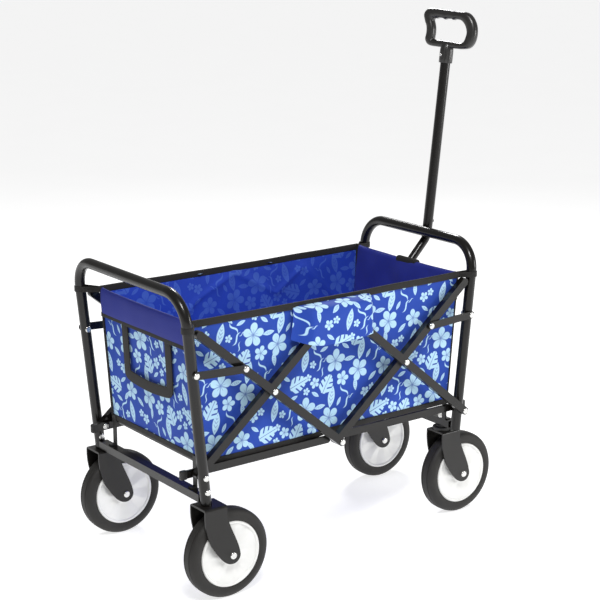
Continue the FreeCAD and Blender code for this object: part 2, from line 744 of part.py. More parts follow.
def wheel_nodes():
    """Forks, casters, axles and wheels."""
    rear_foot_x = -post_x(FORK_TOP_Z)
    swivel_x = post_x(FRONT_FOOT_Z)
    rear_axle_x = rear_foot_x + AXLE_OFFSET
    front_axle_x = swivel_x + AXLE_OFFSET
    nodes = {
        "rear_forks": pair(fork(rear_foot_x, -REAR_POST_Y)),
        "rear_axles": pair(axle(rear_axle_x, -REAR_POST_Y)),
        "caster_bearings": pair(caster_bearing(swivel_x, -CASTER_Y)),
        "caster_kingpins": pair(kingpin(swivel_x, -CASTER_Y)),
    }
    for side, sign in (("near", -1), ("far", 1)):
        nodes["caster_fork_" + side] = caster_fork(swivel_x, sign * CASTER_Y)
        nodes["caster_axle_" + side] = axle(front_axle_x, sign * CASTER_Y)
        nodes["rear_tyre_" + side] = tyre(rear_axle_x, sign * REAR_POST_Y)
        nodes["rear_hub_" + side] = hub(rear_axle_x, sign * REAR_POST_Y)
        nodes["front_tyre_" + side] = tyre(front_axle_x, sign * CASTER_Y)
        nodes["front_hub_" + side] = hub(front_axle_x, sign * CASTER_Y)
    return nodes


def linkage_nodes():
    """Scissor bars, links, floor rails and the rivets that ride on the bars, on both sides."""
    outer, inner = OUTER_PLANE[0], INNER_PLANE[1]
    rear_link_y = -REAR_POST_Y - TUBE_RADIUS - 1 - LINK_THICKNESS
    front_link_y = OUTER_PLANE[1] - LINK_THICKNESS
    near = {
        "rear_low_bar": bar_from_post(-1, INNER_PLANE),
        "rear_high_bar": bar_from_middle(-1, OUTER_PLANE),
        "front_low_bar": bar_from_post(1, OUTER_PLANE),
        "front_high_bar": bar_from_middle(1, INNER_PLANE),
        "rear_low_bar_rivets": Part.makeCompound([
            rivet(-HALF_X, MIDDLE_Z, outer, inner),
            rivet(0, PIVOT_HIGH_Z, outer, inner),
        ]),
        "front_high_bar_rivets": Part.makeCompound([
            rivet(0, PIVOT_LOW_Z, outer, inner),
            rivet(HALF_X, MIDDLE_Z, outer, inner),
        ]),
        "rear_link": link(-1, rear_link_y, OUTER_PLANE[0] - 1),
        "front_link": link(1, front_link_y, OUTER_PLANE[1] + 0.8),
    }
    nodes = {name + "_near": shape for name, shape in near.items()}
    nodes.update({name + "_far": mirrored(shape) for name, shape in near.items()})
    nodes["rear_bottom_rails"] = pair(bottom_rail(-1, REAR_RAIL_PLANE))
    nodes["front_bottom_rails"] = pair(bottom_rail(1, FRONT_RAIL_PLANE))
    return nodes


def handle_nodes():
    """Pull handle."""
    return {
        "handle_lower_tube": handle_lower_tube(),
        "handle_upper_tube": handle_upper_tube(),
        "handle_button": handle_button(),
        "handle_grip": handle_grip(),
    }


def basket_nodes():
    """Soft parts of the basket as plain closed solids."""
    near_panel = side_panel()
    near_flap = joint_flap()
    return {
        "side_panel_near": near_panel,
        "side_panel_far": mirrored(near_panel),
        "rear_panel": end_panel(-1),
        "front_panel": end_panel(1),
        "floor_panel": floor_panel(),
        "base_pad": base_pad(),
        "joint_flap_near": near_flap,
        "joint_flap_far": mirrored(near_flap),
        "rim_binding": rear_rim_binding(),
        "front_rim_binding": front_rim_binding(),
        "rear_strap": rear_strap(),
    }


def main():
    """Write one STEP file per node, with the origin below the middle of the whole cart."""
    os.makedirs("parts", exist_ok=True)
    groups = [end_frame_nodes(), wheel_nodes(), linkage_nodes(), handle_nodes(), basket_nodes()]
    for group in groups:
        for name, shape in group.items():
            shape.translate(Vector(-BASKET_TO_CART_MIDDLE, 0, 0))
            shape.exportStep("parts/" + name + ".step")


main()
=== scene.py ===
import json
import logging
import math
from dataclasses import dataclass, field
from enum import Enum
from typing import Callable, Dict, List, Optional, Sequence, Tuple, Union

import bpy
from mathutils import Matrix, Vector, noise

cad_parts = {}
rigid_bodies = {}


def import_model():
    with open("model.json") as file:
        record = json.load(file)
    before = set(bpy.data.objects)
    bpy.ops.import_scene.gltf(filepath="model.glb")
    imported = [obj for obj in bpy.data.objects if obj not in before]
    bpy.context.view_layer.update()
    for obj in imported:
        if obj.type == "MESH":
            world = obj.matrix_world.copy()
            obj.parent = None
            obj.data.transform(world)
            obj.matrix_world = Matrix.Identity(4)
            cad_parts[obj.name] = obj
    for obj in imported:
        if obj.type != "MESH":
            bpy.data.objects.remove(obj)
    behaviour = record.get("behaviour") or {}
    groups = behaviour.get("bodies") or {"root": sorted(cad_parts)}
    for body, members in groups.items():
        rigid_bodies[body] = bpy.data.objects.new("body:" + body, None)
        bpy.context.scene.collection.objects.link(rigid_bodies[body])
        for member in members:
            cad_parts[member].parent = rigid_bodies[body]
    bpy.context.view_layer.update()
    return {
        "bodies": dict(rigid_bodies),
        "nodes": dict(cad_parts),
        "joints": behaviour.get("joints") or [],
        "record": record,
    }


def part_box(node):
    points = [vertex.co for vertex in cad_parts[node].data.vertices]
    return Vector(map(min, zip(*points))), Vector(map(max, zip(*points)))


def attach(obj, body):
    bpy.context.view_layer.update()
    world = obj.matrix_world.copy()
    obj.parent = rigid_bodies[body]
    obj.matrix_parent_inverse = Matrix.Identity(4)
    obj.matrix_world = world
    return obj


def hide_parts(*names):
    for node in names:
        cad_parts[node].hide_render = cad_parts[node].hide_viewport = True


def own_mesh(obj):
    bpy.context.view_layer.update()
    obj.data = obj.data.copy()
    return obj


# Folding beach cart. The classes keep their sizes in millimetres, with X measured from the middle
# of the fabric tub; Workbench turns them into metres of the row frame. "Near" is the -Y side.

LOG = logging.getLogger("beach_cart")
MM = 0.001
NEAR, FAR = -1, 1
REAR, FRONT = -1, 1
SIDES = ((NEAR, "near"), (FAR, "far"))
ENDS = ((REAR, "rear"), (FRONT, "front"))
WHITE = (1.0, 1.0, 1.0, 1.0)
# A colour mix's sockets by number, because its number and vector sockets have the same names
MIX_FACTOR, MIX_LOW, MIX_HIGH, MIX_RESULT = 0, 6, 7, 2

Point = Tuple[float, float, float]
Place = Tuple[float, float]
Spot = Tuple[Point, Point, Place]
Face = Tuple[int, ...]
Signal = Union[float, bpy.types.NodeSocket]
Formula = Union[float, str, tuple]
Sockets = Dict[Union[str, int], object]


# ------------------------------------------------------------------ colours and nodes

def linear_colour(code: str) -> Tuple[float, float, float, float]:
    """Turn an sRGB hex colour into the linear values that shaders take.

    Args:
        code: Colour such as "#2f49b5".

    Returns:
        Linear red, green, blue and an alpha of 1.
    """
    channels = [int(code[i:i + 2], 16) / 255 for i in (1, 3, 5)]
    bright = [c / 12.92 if c <= 0.04045 else ((c + 0.055) / 1.055) ** 2.4 for c in channels]
    return (bright[0], bright[1], bright[2], 1.0)


def feed(tree: bpy.types.NodeTree, node: bpy.types.Node, inputs: Sockets) -> None:
    """Set or link a node's input sockets.

    Args:
        tree: Tree that holds the node.
        node: Node to feed.
        inputs: Socket name or number to a value or to the output socket that feeds it.
    """
    for key, value in inputs.items():
        if isinstance(value, bpy.types.NodeSocket):
            tree.links.new(value, node.inputs[key])
        else:
            node.inputs[key].default_value = value


def add_node(tree: bpy.types.NodeTree, kind: str, inputs: Optional[Sockets] = None,
             **settings: object) -> bpy.types.Node:
    """Add one node with its settings and links.

    Args:
        tree: Tree that takes the node.
        kind: Blender's name for the node type.
        inputs: Socket name or number to a value or to the output socket that feeds it.
        **settings: Attributes of the node.

    Returns:
        The new node.
    """
    node = tree.nodes.new(kind)
    for name, value in settings.items():
        setattr(node, name, value)
    feed(tree, node, inputs or {})
    return node


def add_formula(tree: bpy.types.NodeTree, formula: Formula, signals: Dict[str, Signal]) -> Signal:
    """Turn a formula written as nested tuples into math nodes.

    Args:
        tree: Tree that takes the nodes.
        formula: A number, a signal's name, or (operation, formula, ...).
        signals: Sockets or numbers by name.

    Returns:
        The socket or number that holds the result.
    """
    if isinstance(formula, str):
        return signals[formula]
    if not isinstance(formula, tuple):
        return float(formula)
    operation, *parts = formula
    values = {i: add_formula(tree, part, signals) for i, part in enumerate(parts)}
    return add_node(tree, "ShaderNodeMath", values, operation=operation).outputs[0]


def soft_step(formula: Formula, width: float) -> Formula:
    """Formula that rises from 0 to 1 as another goes from 0 to width."""
    return ("MINIMUM", ("MAXIMUM", ("DIVIDE", formula, width), 0.0), 1.0)


# ------------------------------------------------------------------ the printed pattern

class Motif(Enum):
    """Shapes of the tropical print."""

    FLOWER = "flower"
    LEAF = "leaf"
    MONSTERA = "monstera"
    TWIG = "twig"


# The spot asked about (u, v), then the motif's place, turn (degrees) and half-size; all else in mm
MOTIF_INPUTS = ("u", "v", "across", "up", "turn", "size")

# Edges of the motifs, for a spot at x, y or r, angle from the motif's middle. The cosine of two and
# a half times the angle has five lobes, one for each petal of the hibiscus
PETAL_ANGLE = ("MULTIPLY", "angle", 2.5)
LOBES = ("ABSOLUTE", ("COSINE", PETAL_ANGLE))
PETAL_EDGE = ("ADD", 0.40, ("MULTIPLY", 0.60, ("POWER", LOBES, 0.6)))
ACROSS_LEAF = ("ABSOLUTE", "y")
LEAF_EDGE = ("MULTIPLY", 0.37, ("SUBTRACT", 1.0, ("MULTIPLY", "x", "x")))
MONSTERA_EDGE = ("MULTIPLY", ("SUBTRACT", 0.80, ("MULTIPLY", 0.22, "x")), ("POWER", (
    "MAXIMUM", ("SUBTRACT", 1.0, ("MULTIPLY", "x", "x")), 0.0), 0.55))
TWIG_LINE = ("ABSOLUTE", ("SUBTRACT", "y", ("MULTIPLY", 0.22, ("SINE", ("MULTIPLY", 3.2, "x")))))

# Each gives the ink, 0 to 1, at a spot whose distances are in shares of the motif's half-size:
# petals with a paler eye and lines between them, leaves with a midrib and veins, leaves slit
# from the edge, and wavy twigs
MOTIF_INK: Dict[Motif, Formula] = {
    Motif.FLOWER: ("MULTIPLY", ("MULTIPLY", soft_step(("SUBTRACT", PETAL_EDGE, "r"), 0.05),
                   ("ADD", 0.35, ("MULTIPLY", 0.65, soft_step(("MULTIPLY", "r", LOBES), 0.2)))),
                   ("ADD", 0.45, ("MULTIPLY", 0.55, ("MAXIMUM",
                    soft_step(("ABSOLUTE", ("MULTIPLY", "r", ("SINE", PETAL_ANGLE))), 0.09),
                    soft_step(("SUBTRACT", "r", 0.38), 0.1))))),
    Motif.LEAF: ("MULTIPLY", soft_step(("SUBTRACT", LEAF_EDGE, ACROSS_LEAF), 0.05),
                 ("SUBTRACT", 1.0, ("MULTIPLY", 0.45, ("MULTIPLY",
                  soft_step(("SUBTRACT", ("SUBTRACT", LEAF_EDGE, 0.13), ACROSS_LEAF), 0.06),
                  soft_step(("SUBTRACT", 0.55, ("PINGPONG", ("MULTIPLY", ("SUBTRACT", "x", (
                      "MULTIPLY", 1.2, ACROSS_LEAF)), 6.0), 1.0)), 0.3))))),
    Motif.MONSTERA: ("MULTIPLY", soft_step(("SUBTRACT", MONSTERA_EDGE, ACROSS_LEAF), 0.05),
                     ("MINIMUM", soft_step(ACROSS_LEAF, 0.05), ("MAXIMUM",
                      soft_step(("SUBTRACT", ("PINGPONG", ("MULTIPLY", ("SUBTRACT", "x", (
                          "MULTIPLY", 0.6, ACROSS_LEAF)), 3.6), 1.0), 0.24), 0.12),
                      soft_step(("SUBTRACT", 0.3, ACROSS_LEAF), 0.05)))),
    Motif.TWIG: soft_step(("SUBTRACT", ("SUBTRACT", 0.15, ("MULTIPLY", 0.15, (
        "MULTIPLY", "x", "x"))), TWIG_LINE), 0.06),
}

# Motif, place across and up in one repeat (mm), turn (degrees) and half-size (mm)
PRINT_LAYOUT: Tuple[Tuple[Motif, float, float, float, float], ...] = (
    (Motif.FLOWER, 0, 0, 12, 27), (Motif.FLOWER, 61, -29, 40, 26), (Motif.FLOWER, 19, -41, 0, 17),
    (Motif.FLOWER, 128, -32, 25, 21), (Motif.FLOWER, 156, 10, 50, 12),
    (Motif.FLOWER, 174, 18, 8, 9), (Motif.FLOWER, 233, -38, 33, 13),
    (Motif.FLOWER, 215, -24, 20, 9),
    (Motif.LEAF, 37, -1, 6, 15), (Motif.LEAF, 67, 15, 78, 25), (Motif.LEAF, -78, 13, 76, 25),
    (Motif.LEAF, 130, 31, 95, 15), (Motif.LEAF, 150, -49, -50, 14),
    (Motif.MONSTERA, -22, -46, 62, 22), (Motif.MONSTERA, 191, -32, 18, 23),
    (Motif.TWIG, -47, 22, -58, 19), (Motif.TWIG, -40, -1, 48, 18), (Motif.TWIG, -27, 7, 20, 9),
    (Motif.TWIG, 101, 22, -58, 19), (Motif.TWIG, 107, -3, 48, 18), (Motif.TWIG, 119, 8, 20, 9),
    (Motif.LEAF, 175, 42, 40, 14), (Motif.LEAF, 160, -16, -35, 12), (Motif.LEAF, 86, 2, 60, 11),
    (Motif.LEAF, 26, 28, -35, 12), (Motif.FLOWER, 3, 38, 0, 9), (Motif.LEAF, 256, 30, 20, 12),
    (Motif.FLOWER, 227, 2, 0, 9), (Motif.TWIG, 252, -18, 70, 12),
)


@dataclass(frozen=True)
class TropicalPrint:
    """Screen print of hibiscus, monstera and leaves, repeated with a sideways step per row."""

    # Width of a repeat, height of a row, sideways step per row and place of the first motif, in mm
    repeat: float = 286.0
    row: float = 91.0
    row_step: float = 77.0
    start: Place = (-196.5, 512.8)
    motif_scale: float = 0.97

    def motif_group(self, motif: Motif) -> bpy.types.NodeTree:
        """Build the node group of one motif.

        Args:
            motif: Shape to draw.

        Returns:
            Group with the inputs of MOTIF_INPUTS and the output ink.
        """
        tree = bpy.data.node_groups.new("print_" + motif.value, "ShaderNodeTree")
        for name in MOTIF_INPUTS:
            tree.interface.new_socket(name, in_out="INPUT", socket_type="NodeSocketFloat")
        tree.interface.new_socket("ink", in_out="OUTPUT", socket_type="NodeSocketFloat")
        source = add_node(tree, "NodeGroupInput").outputs
        signals: Dict[str, Signal] = {name: source[name] for name in MOTIF_INPUTS}
        signals["dv"] = add_formula(tree, ("SUBTRACT", "v", "up"), signals)
        signals["rows"] = add_formula(tree, ("ROUND", ("DIVIDE", "dv", self.row)), signals)
        signals["du"] = add_formula(tree, ("SUBTRACT", ("SUBTRACT", "u", "across"), (
            "MULTIPLY", "rows", self.row_step)), signals)
        local_x = add_formula(tree, ("DIVIDE", ("WRAP", "du", self.repeat / 2, -self.repeat / 2),
                                     "size"), signals)
        local_y = add_formula(tree, ("DIVIDE", ("SUBTRACT", "dv", ("MULTIPLY", "rows", self.row)),
                                     "size"), signals)
        flat = add_node(tree, "ShaderNodeCombineXYZ", {0: local_x, 1: local_y}).outputs[0]
        turned = add_node(tree, "ShaderNodeVectorRotate", {"Vector": flat, "Angle": add_formula(
            tree, ("MULTIPLY", "turn", -math.pi / 180), signals)}, rotation_type="Z_AXIS")
        split = add_node(tree, "ShaderNodeSeparateXYZ", {0: turned.outputs[0]}).outputs
        signals.update(x=split[0], y=split[1])
        signals["r"] = add_formula(tree, ("SQRT", ("ADD", ("MULTIPLY", "x", "x"),
                                                   ("MULTIPLY", "y", "y"))), signals)
        signals["angle"] = add_formula(tree, ("ARCTAN2", "y", "x"), signals)
        ink = add_formula(tree, MOTIF_INK[motif], signals)
        add_node(tree, "NodeGroupOutput", {"ink": ink})
        return tree

    def add_ink(self, tree: bpy.types.NodeTree, u: Signal, v: Signal) -> Signal:
        """Add every motif of the layout to a material.

        Args:
            tree: Material's tree.
            u: Distance along the cloth in mm.
            v: Distance up the cloth in mm.

        Returns:
            Socket with the ink, 0 on the ground colour and 1 on the palest petals.
        """
        groups = {motif: bpy.data.node_groups.get("print_" + motif.value)
                  or self.motif_group(motif) for motif in Motif}
        total: Signal = 0.0
        for motif, across, up, turn, size in PRINT_LAYOUT:
            node = add_node(tree, "ShaderNodeGroup", {
                "u": u, "v": v, "across": self.start[0] + across, "up": self.start[1] + up,
                "turn": turn, "size": size * self.motif_scale}, node_tree=groups[motif])
            total = add_formula(tree, ("MAXIMUM", "total", "ink"),
                                {"total": total, "ink": node.outputs["ink"]})
        return total


# ------------------------------------------------------------------ finishes

@dataclass(frozen=True)
class Finish:
    """A material and how its surface was made. Subclasses add the nodes."""

    title: str
    colour: str
    roughness: float

    def material(self) -> bpy.types.Material:
        """Build the Blender material on first use.

        Returns:
            The material.
        """
        found = bpy.data.materials.get(self.title)
        if found:
            return found
        made = bpy.data.materials.new(self.title)
        made.use_nodes = True
        tree = made.node_tree
        tree.nodes.clear()
        shader = add_node(tree, "ShaderNodeBsdfPrincipled", {"Roughness": self.roughness})
        add_node(tree, "ShaderNodeOutputMaterial", {"Surface": shader.outputs[0]})
        feed(tree, shader, self.dress(tree))
        return made

    def dress(self, tree: bpy.types.NodeTree) -> Sockets:
        """Add the nodes that make this finish what it is, and return what feeds the shader."""
        raise NotImplementedError


@dataclass(frozen=True)
class PowderCoat(Finish):
    """Powder-coated steel tube: black, a satin film with a fine orange-peel skin."""

    dust: str = "#14110f"
    dust_patch: float = 60.0
    gloss_patch: float = 25.0
    # Orange peel is about 1 mm across; drawn at 3 mm so that it shows from a step away
    peel: float = 3.0
    peel_depth: float = 0.05

    def dress(self, tree: bpy.types.NodeTree) -> Sockets:
        """Add dust-pale variation, uneven gloss and the orange-peel bump.

        Args:
            tree: Material's tree.

        Returns:
            What feeds each socket of the shader.
        """
        at = add_node(tree, "ShaderNodeTexCoord").outputs["Object"]
        dust, gloss, peel = (add_node(tree, "ShaderNodeTexNoise", {
            "Vector": at, "Scale": 1 / (size * MM), "Detail": 2.0}).outputs[0]
            for size in (self.dust_patch, self.gloss_patch, self.peel))
        colour = add_node(tree, "ShaderNodeMix", {
            MIX_FACTOR: dust, MIX_LOW: linear_colour(self.colour),
            MIX_HIGH: linear_colour(self.dust)}, data_type="RGBA")
        skin = add_node(tree, "ShaderNodeBump", {
            "Height": peel, "Distance": self.peel_depth * MM, "Strength": 1.0})
        uneven = add_formula(tree, ("ADD", self.roughness - 0.06, ("MULTIPLY", "gloss", 0.12)),
                             {"gloss": gloss})
        return {"Base Color": colour.outputs[MIX_RESULT], "Roughness": uneven,
                "Normal": skin.outputs[0], "IOR": 1.5, "Specular IOR Level": 0.25,
                "Coat Weight": 0.4, "Coat Roughness": 0.14}


@dataclass(frozen=True)
class ZincPlate(Finish):
    """Zinc-plated steel rivet: pale bright metal with faint turning marks."""

    bright: str = "#f4f4f2"
    cloud_patch: float = 4.0
    scratch: float = 0.8
    scratch_depth: float = 0.03

    def dress(self, tree: bpy.types.NodeTree) -> Sockets:
        """Add the metal's slight clouding and a fine scratch bump.

        Args:
            tree: Material's tree.

        Returns:
            What feeds each socket of the shader.
        """
        at = add_node(tree, "ShaderNodeTexCoord").outputs["Object"]
        cloud, scratches = (add_node(tree, "ShaderNodeTexNoise", {
            "Vector": at, "Scale": 1 / (size * MM), "Detail": detail}).outputs[0]
            for size, detail in ((self.cloud_patch, 2.0), (self.scratch, 4.0)))
        colour = add_node(tree, "ShaderNodeMix", {
            MIX_FACTOR: cloud, MIX_LOW: linear_colour(self.colour),
            MIX_HIGH: linear_colour(self.bright)}, data_type="RGBA")
        skin = add_node(tree, "ShaderNodeBump", {
            "Height": scratches, "Distance": self.scratch_depth * MM, "Strength": 1.0})
        return {"Base Color": colour.outputs[MIX_RESULT], "Normal": skin.outputs[0],
                "Metallic": 1.0}


@dataclass(frozen=True)
class MouldedPlastic(Finish):
    """Moulded polypropylene or ABS with a fine spark-eroded grain."""

    high: str = "#2b2a29"
    flow_patch: float = 35.0
    gloss_patch: float = 12.0
    # The mould's grain is about 0.4 mm; drawn at 1.2 mm so that it shows at all
    grain: float = 1.2
    grain_depth: float = 0.03
    coat: float = 0.2

    def dress(self, tree: bpy.types.NodeTree) -> Sockets:
        """Add flow-mark variation, uneven gloss and the grain.

        Args:
            tree: Material's tree.

        Returns:
            What feeds each socket of the shader.
        """
        at = add_node(tree, "ShaderNodeTexCoord").outputs["Object"]
        flow, gloss, grain = (add_node(tree, "ShaderNodeTexNoise", {
            "Vector": at, "Scale": 1 / (size * MM), "Detail": 2.0}).outputs[0]
            for size in (self.flow_patch, self.gloss_patch, self.grain))
        colour = add_node(tree, "ShaderNodeMix", {
            MIX_FACTOR: flow, MIX_LOW: linear_colour(self.colour),
            MIX_HIGH: linear_colour(self.high)}, data_type="RGBA")
        skin = add_node(tree, "ShaderNodeBump", {
            "Height": grain, "Distance": self.grain_depth * MM, "Strength": 1.0})
        uneven = add_formula(tree, ("ADD", self.roughness - 0.05, ("MULTIPLY", "gloss", 0.1)),
                             {"gloss": gloss})
        return {"Base Color": colour.outputs[MIX_RESULT], "Roughness": uneven,
                "Normal": skin.outputs[0], "IOR": 1.49, "Coat Weight": self.coat,
                "Coat Roughness": 0.15}


@dataclass(frozen=True)
class TyreRubber(Finish):
    """Moulded EVA tyre: charcoal, matt, with a dry bloom and fine pits."""

    bloom: str = "#2b2926"
    bloom_patch: float = 18.0
    pit: float = 2.0
    pit_depth: float = 0.15

    def dress(self, tree: bpy.types.NodeTree) -> Sockets:
        """Add the bloom and the pitted skin.

        Args:
            tree: Material's tree.

        Returns:
            What feeds each socket of the shader.
        """
        at = add_node(tree, "ShaderNodeTexCoord").outputs["Object"]
        bloom, pits = (add_node(tree, "ShaderNodeTexNoise", {
            "Vector": at, "Scale": 1 / (size * MM), "Detail": detail}).outputs[0]
            for size, detail in ((self.bloom_patch, 4.0), (self.pit, 3.0)))
        colour = add_node(tree, "ShaderNodeMix", {
            MIX_FACTOR: bloom, MIX_LOW: linear_colour(self.colour),
            MIX_HIGH: linear_colour(self.bloom)}, data_type="RGBA")
        skin = add_node(tree, "ShaderNodeBump", {
            "Height": pits, "Distance": self.pit_depth * MM, "Strength": 1.0})
        return {"Base Color": colour.outputs[MIX_RESULT], "Normal": skin.outputs[0],
                "IOR": 1.52, "Specular IOR Level": 0.42}


@dataclass(frozen=True)
class Cloth(Finish):
    """Woven polyester canvas, with its print or lining colour and a plain weave."""

    ink: str = "#bce2fb"
    ink_share: float = 0.0
    cloud_patch: float = 90.0
    # 600 denier threads lie 0.5 mm apart; drawn at 2 mm so that the weave reads at all
    thread: float = 2.0
    weave_depth: float = 0.06

    def dress(self, tree: bpy.types.NodeTree) -> Sockets:
        """Add the ground, the print at its share of strength, the weave and its sheen.

        Args:
            tree: Material's tree.

        Returns:
            What feeds each socket of the shader.
        """
        uv = add_node(tree, "ShaderNodeUVMap", uv_map="cloth").outputs[0]
        split = add_node(tree, "ShaderNodeSeparateXYZ", {0: uv}).outputs
        signals: Dict[str, Signal] = {
            name: add_formula(tree, ("MULTIPLY", "metres", 1 / MM), {"metres": split[number]})
            for number, name in enumerate(("u", "v"))}
        at = add_node(tree, "ShaderNodeTexCoord").outputs["Object"]
        cloud = add_node(tree, "ShaderNodeTexNoise", {
            "Vector": at, "Scale": 1 / (self.cloud_patch * MM), "Detail": 2.0})
        colour = add_node(tree, "ShaderNodeMix", {
            MIX_FACTOR: cloud.outputs[0], MIX_LOW: linear_colour(self.colour),
            MIX_HIGH: linear_colour(self.second_ground())}, data_type="RGBA")
        if self.ink_share:
            ink = TropicalPrint().add_ink(tree, signals["u"], signals["v"])
            strength = add_formula(tree, ("MULTIPLY", "ink", self.ink_share), {"ink": ink})
            colour = add_node(tree, "ShaderNodeMix", {
                MIX_FACTOR: strength, MIX_LOW: colour.outputs[MIX_RESULT],
                MIX_HIGH: linear_colour(self.ink)}, data_type="RGBA")
        turn = 2 * math.pi / self.thread
        weave = add_formula(tree, ("ADD", 0.5, ("MULTIPLY", 0.5, ("MULTIPLY", (
            "SINE", ("MULTIPLY", "u", turn)), ("SINE", ("MULTIPLY", "v", turn))))), signals)
        skin = add_node(tree, "ShaderNodeBump", {
            "Height": weave, "Distance": self.weave_depth * MM, "Strength": 1.0})
        return {"Base Color": colour.outputs[MIX_RESULT], "Normal": skin.outputs[0],
                "IOR": 1.45, "Specular IOR Level": 0.3, "Sheen Weight": 0.12,
                "Sheen Roughness": 0.4}

    def second_ground(self) -> str:
        """Return the ground colour where the dye took a little lighter."""
        channels = [min(255, int(int(self.colour[i:i + 2], 16) * 1.12) + 4) for i in (1, 3, 5)]
        return "#%02x%02x%02x" % tuple(channels)


@dataclass(frozen=True)
class Webbing(Finish):
    """Woven polyester tape: black, ribbed along its length, dull."""

    # Colour of the ribs' crowns, a painted highlight; the darker ground between them is painted
    # shade in the hollows
    crown: str = "#242220"
    # Ribs of such tape are about 0.8 mm apart; drawn at 2.2 mm so that they read
    rib: float = 2.2
    rib_depth: float = 0.12

    def dress(self, tree: bpy.types.NodeTree) -> Sockets:
        """Add the ribs, their crowns painted lighter as a highlight over painted shade in the
        hollows, and the sheen.

        Args:
            tree: Material's tree.

        Returns:
            What feeds each socket of the shader.
        """
        uv = add_node(tree, "ShaderNodeUVMap", uv_map="cloth").outputs[0]
        split = add_node(tree, "ShaderNodeSeparateXYZ", {0: uv}).outputs
        turn = 2 * math.pi / (self.rib * MM)
        rib = add_formula(tree, ("ADD", 0.5, ("MULTIPLY", 0.25, ("ADD", (
            "SINE", ("MULTIPLY", "u", turn)), ("SINE", ("MULTIPLY", "v", turn))))),
            {"u": split[0], "v": split[1]})
        # The rib height also mixes the colour, so the crowns carry a painted highlight and the
        # hollows painted shade
        colour = add_node(tree, "ShaderNodeMix", {
            MIX_FACTOR: rib, MIX_LOW: linear_colour(self.colour),
            MIX_HIGH: linear_colour(self.crown)}, data_type="RGBA")
        skin = add_node(tree, "ShaderNodeBump", {
            "Height": rib, "Distance": self.rib_depth * MM, "Strength": 1.0})
        return {"Base Color": colour.outputs[MIX_RESULT], "Normal": skin.outputs[0],
                "IOR": 1.45, "Sheen Weight": 0.1, "Sheen Roughness": 0.5}


@dataclass(frozen=True)
class PaleFloor(Finish):
    """Painted studio floor: matt white with barely any texture."""

    pale: str = "#d8d8d8"
    mottle: float = 300.0
    # The floor is lit from within so that it stays pale below soft light
    glow: float = 0.72

    def dress(self, tree: bpy.types.NodeTree) -> Sockets:
        """Add a faint mottling and the glow.

        Args:
            tree: Material's tree.

        Returns:
            What feeds each socket of the shader.
        """
        at = add_node(tree, "ShaderNodeTexCoord").outputs["Object"]
        mottle = add_node(tree, "ShaderNodeTexNoise", {
            "Vector": at, "Scale": 1 / (self.mottle * MM), "Detail": 2.0})
        colour = add_node(tree, "ShaderNodeMix", {
            MIX_FACTOR: mottle.outputs[0], MIX_LOW: linear_colour(self.colour),
            MIX_HIGH: linear_colour(self.pale)}, data_type="RGBA")
        return {"Base Color": colour.outputs[MIX_RESULT], "Specular IOR Level": 0.1,
                "Emission Color": WHITE, "Emission Strength": self.glow}


POWDER_COAT = PowderCoat("powder_coated_steel", "#080706", 0.3)
FORK_ENAMEL = PowderCoat("stamped_steel_enamel", "#1d1c1a", 0.46)
HANDLE_ENAMEL = PowderCoat("handle_tube_enamel", "#0c0b0a", 0.26)
ZINC = ZincPlate("zinc_plated_rivet", "#c9c8c4", 0.26)
GRIP_ABS = MouldedPlastic("gloss_abs", "#12110f", 0.32, coat=0.3)
CAP_PP = MouldedPlastic("matt_polypropylene", "#121212", 0.48, coat=0.0)
HUB_PP = MouldedPlastic("white_polypropylene", "#e9e9e6", 0.38, high="#f7f7f5", coat=0.1)
RUBBER = TyreRubber("eva_tyre", "#1c1b1a", 0.6)
PRINTED = Cloth("printed_canvas", "#2344a2", 0.72, ink_share=1.0)
LINING = Cloth("coated_lining", "#2342b0", 0.62, ink="#76a4ee", ink_share=0.24)
PLAIN = Cloth("plain_canvas", "#252f86", 0.7)
TAPE = Webbing("polyester_tape", "#141312", 0.8)
FLOOR_PAINT = PaleFloor("studio_floor", "#cfcfcf", 0.7)


# ------------------------------------------------------------------ shapes

def lerp(a: float, b: float, share: float) -> float:
    """Return the value a share of the way from a to b."""
    return a + (b - a) * share


def limited(share: float) -> float:
    """Return a share kept between 0 and 1."""
    return max(0.0, min(1.0, share))


def spread(low: float, high: float, count: int) -> List[float]:
    """Return values from low to high that cut the way into count equal steps."""
    return [lerp(low, high, i / count) for i in range(count + 1)]


def round_angles(count: int) -> List[float]:
    """Return that many equally spaced angles round a circle, from 0."""
    return [2 * math.pi * k / count for k in range(count)]


def ripple(x: float, y: float, size: float, seed: float) -> float:
    """Return a repeatable noise, about -1 to 1, whose waves are size mm long."""
    return noise.noise(Vector((x / size, y / size, seed)))


def distances(path: Sequence[Sequence[float]]) -> List[float]:
    """Work out how far along a path each of its points lies.

    Args:
        path: Points of the path.

    Returns:
        Distance of each point from the first.
    """
    along = [0.0]
    for here, after in zip(path, path[1:]):
        along.append(along[-1] + math.dist(here, after))
    return along


def run_length(rows: Sequence[Sequence[Point]]) -> float:
    """Return the mean length of rows of points."""
    total = sum((Vector(b) - Vector(a)).length for row in rows for a, b in zip(row, row[1:]))
    return total / len(rows)


def smooth_path(points: Sequence[Point], steps: int = 8, closed: bool = False) -> List[Point]:
    """Draw a Catmull-Rom curve through points.

    Args:
        points: Points to pass through.
        steps: Divisions of each span.
        closed: Whether the curve is a loop.

    Returns:
        Points of the curve.
    """
    count = len(points)
    knots = [Vector(p) for p in points]
    curve = []
    for i in range(count if closed else count - 1):
        p0 = knots[i - 1] if closed or i else knots[0] * 2 - knots[1]
        p1, p2 = knots[i], knots[(i + 1) % count]
        p3 = knots[(i + 2) % count] if closed or i + 2 < count else p2 * 2 - p1
        for j in range(steps):
            t = j / steps
            curve.append(tuple(0.5 * (2 * p1 + (p2 - p0) * t + (2 * p0 - 5 * p1 + 4 * p2 - p3)
                                      * t * t + (3 * p1 - p0 - 3 * p2 + p3) * t ** 3)))
    if not closed:
        curve.append(tuple(knots[-1]))
    return curve


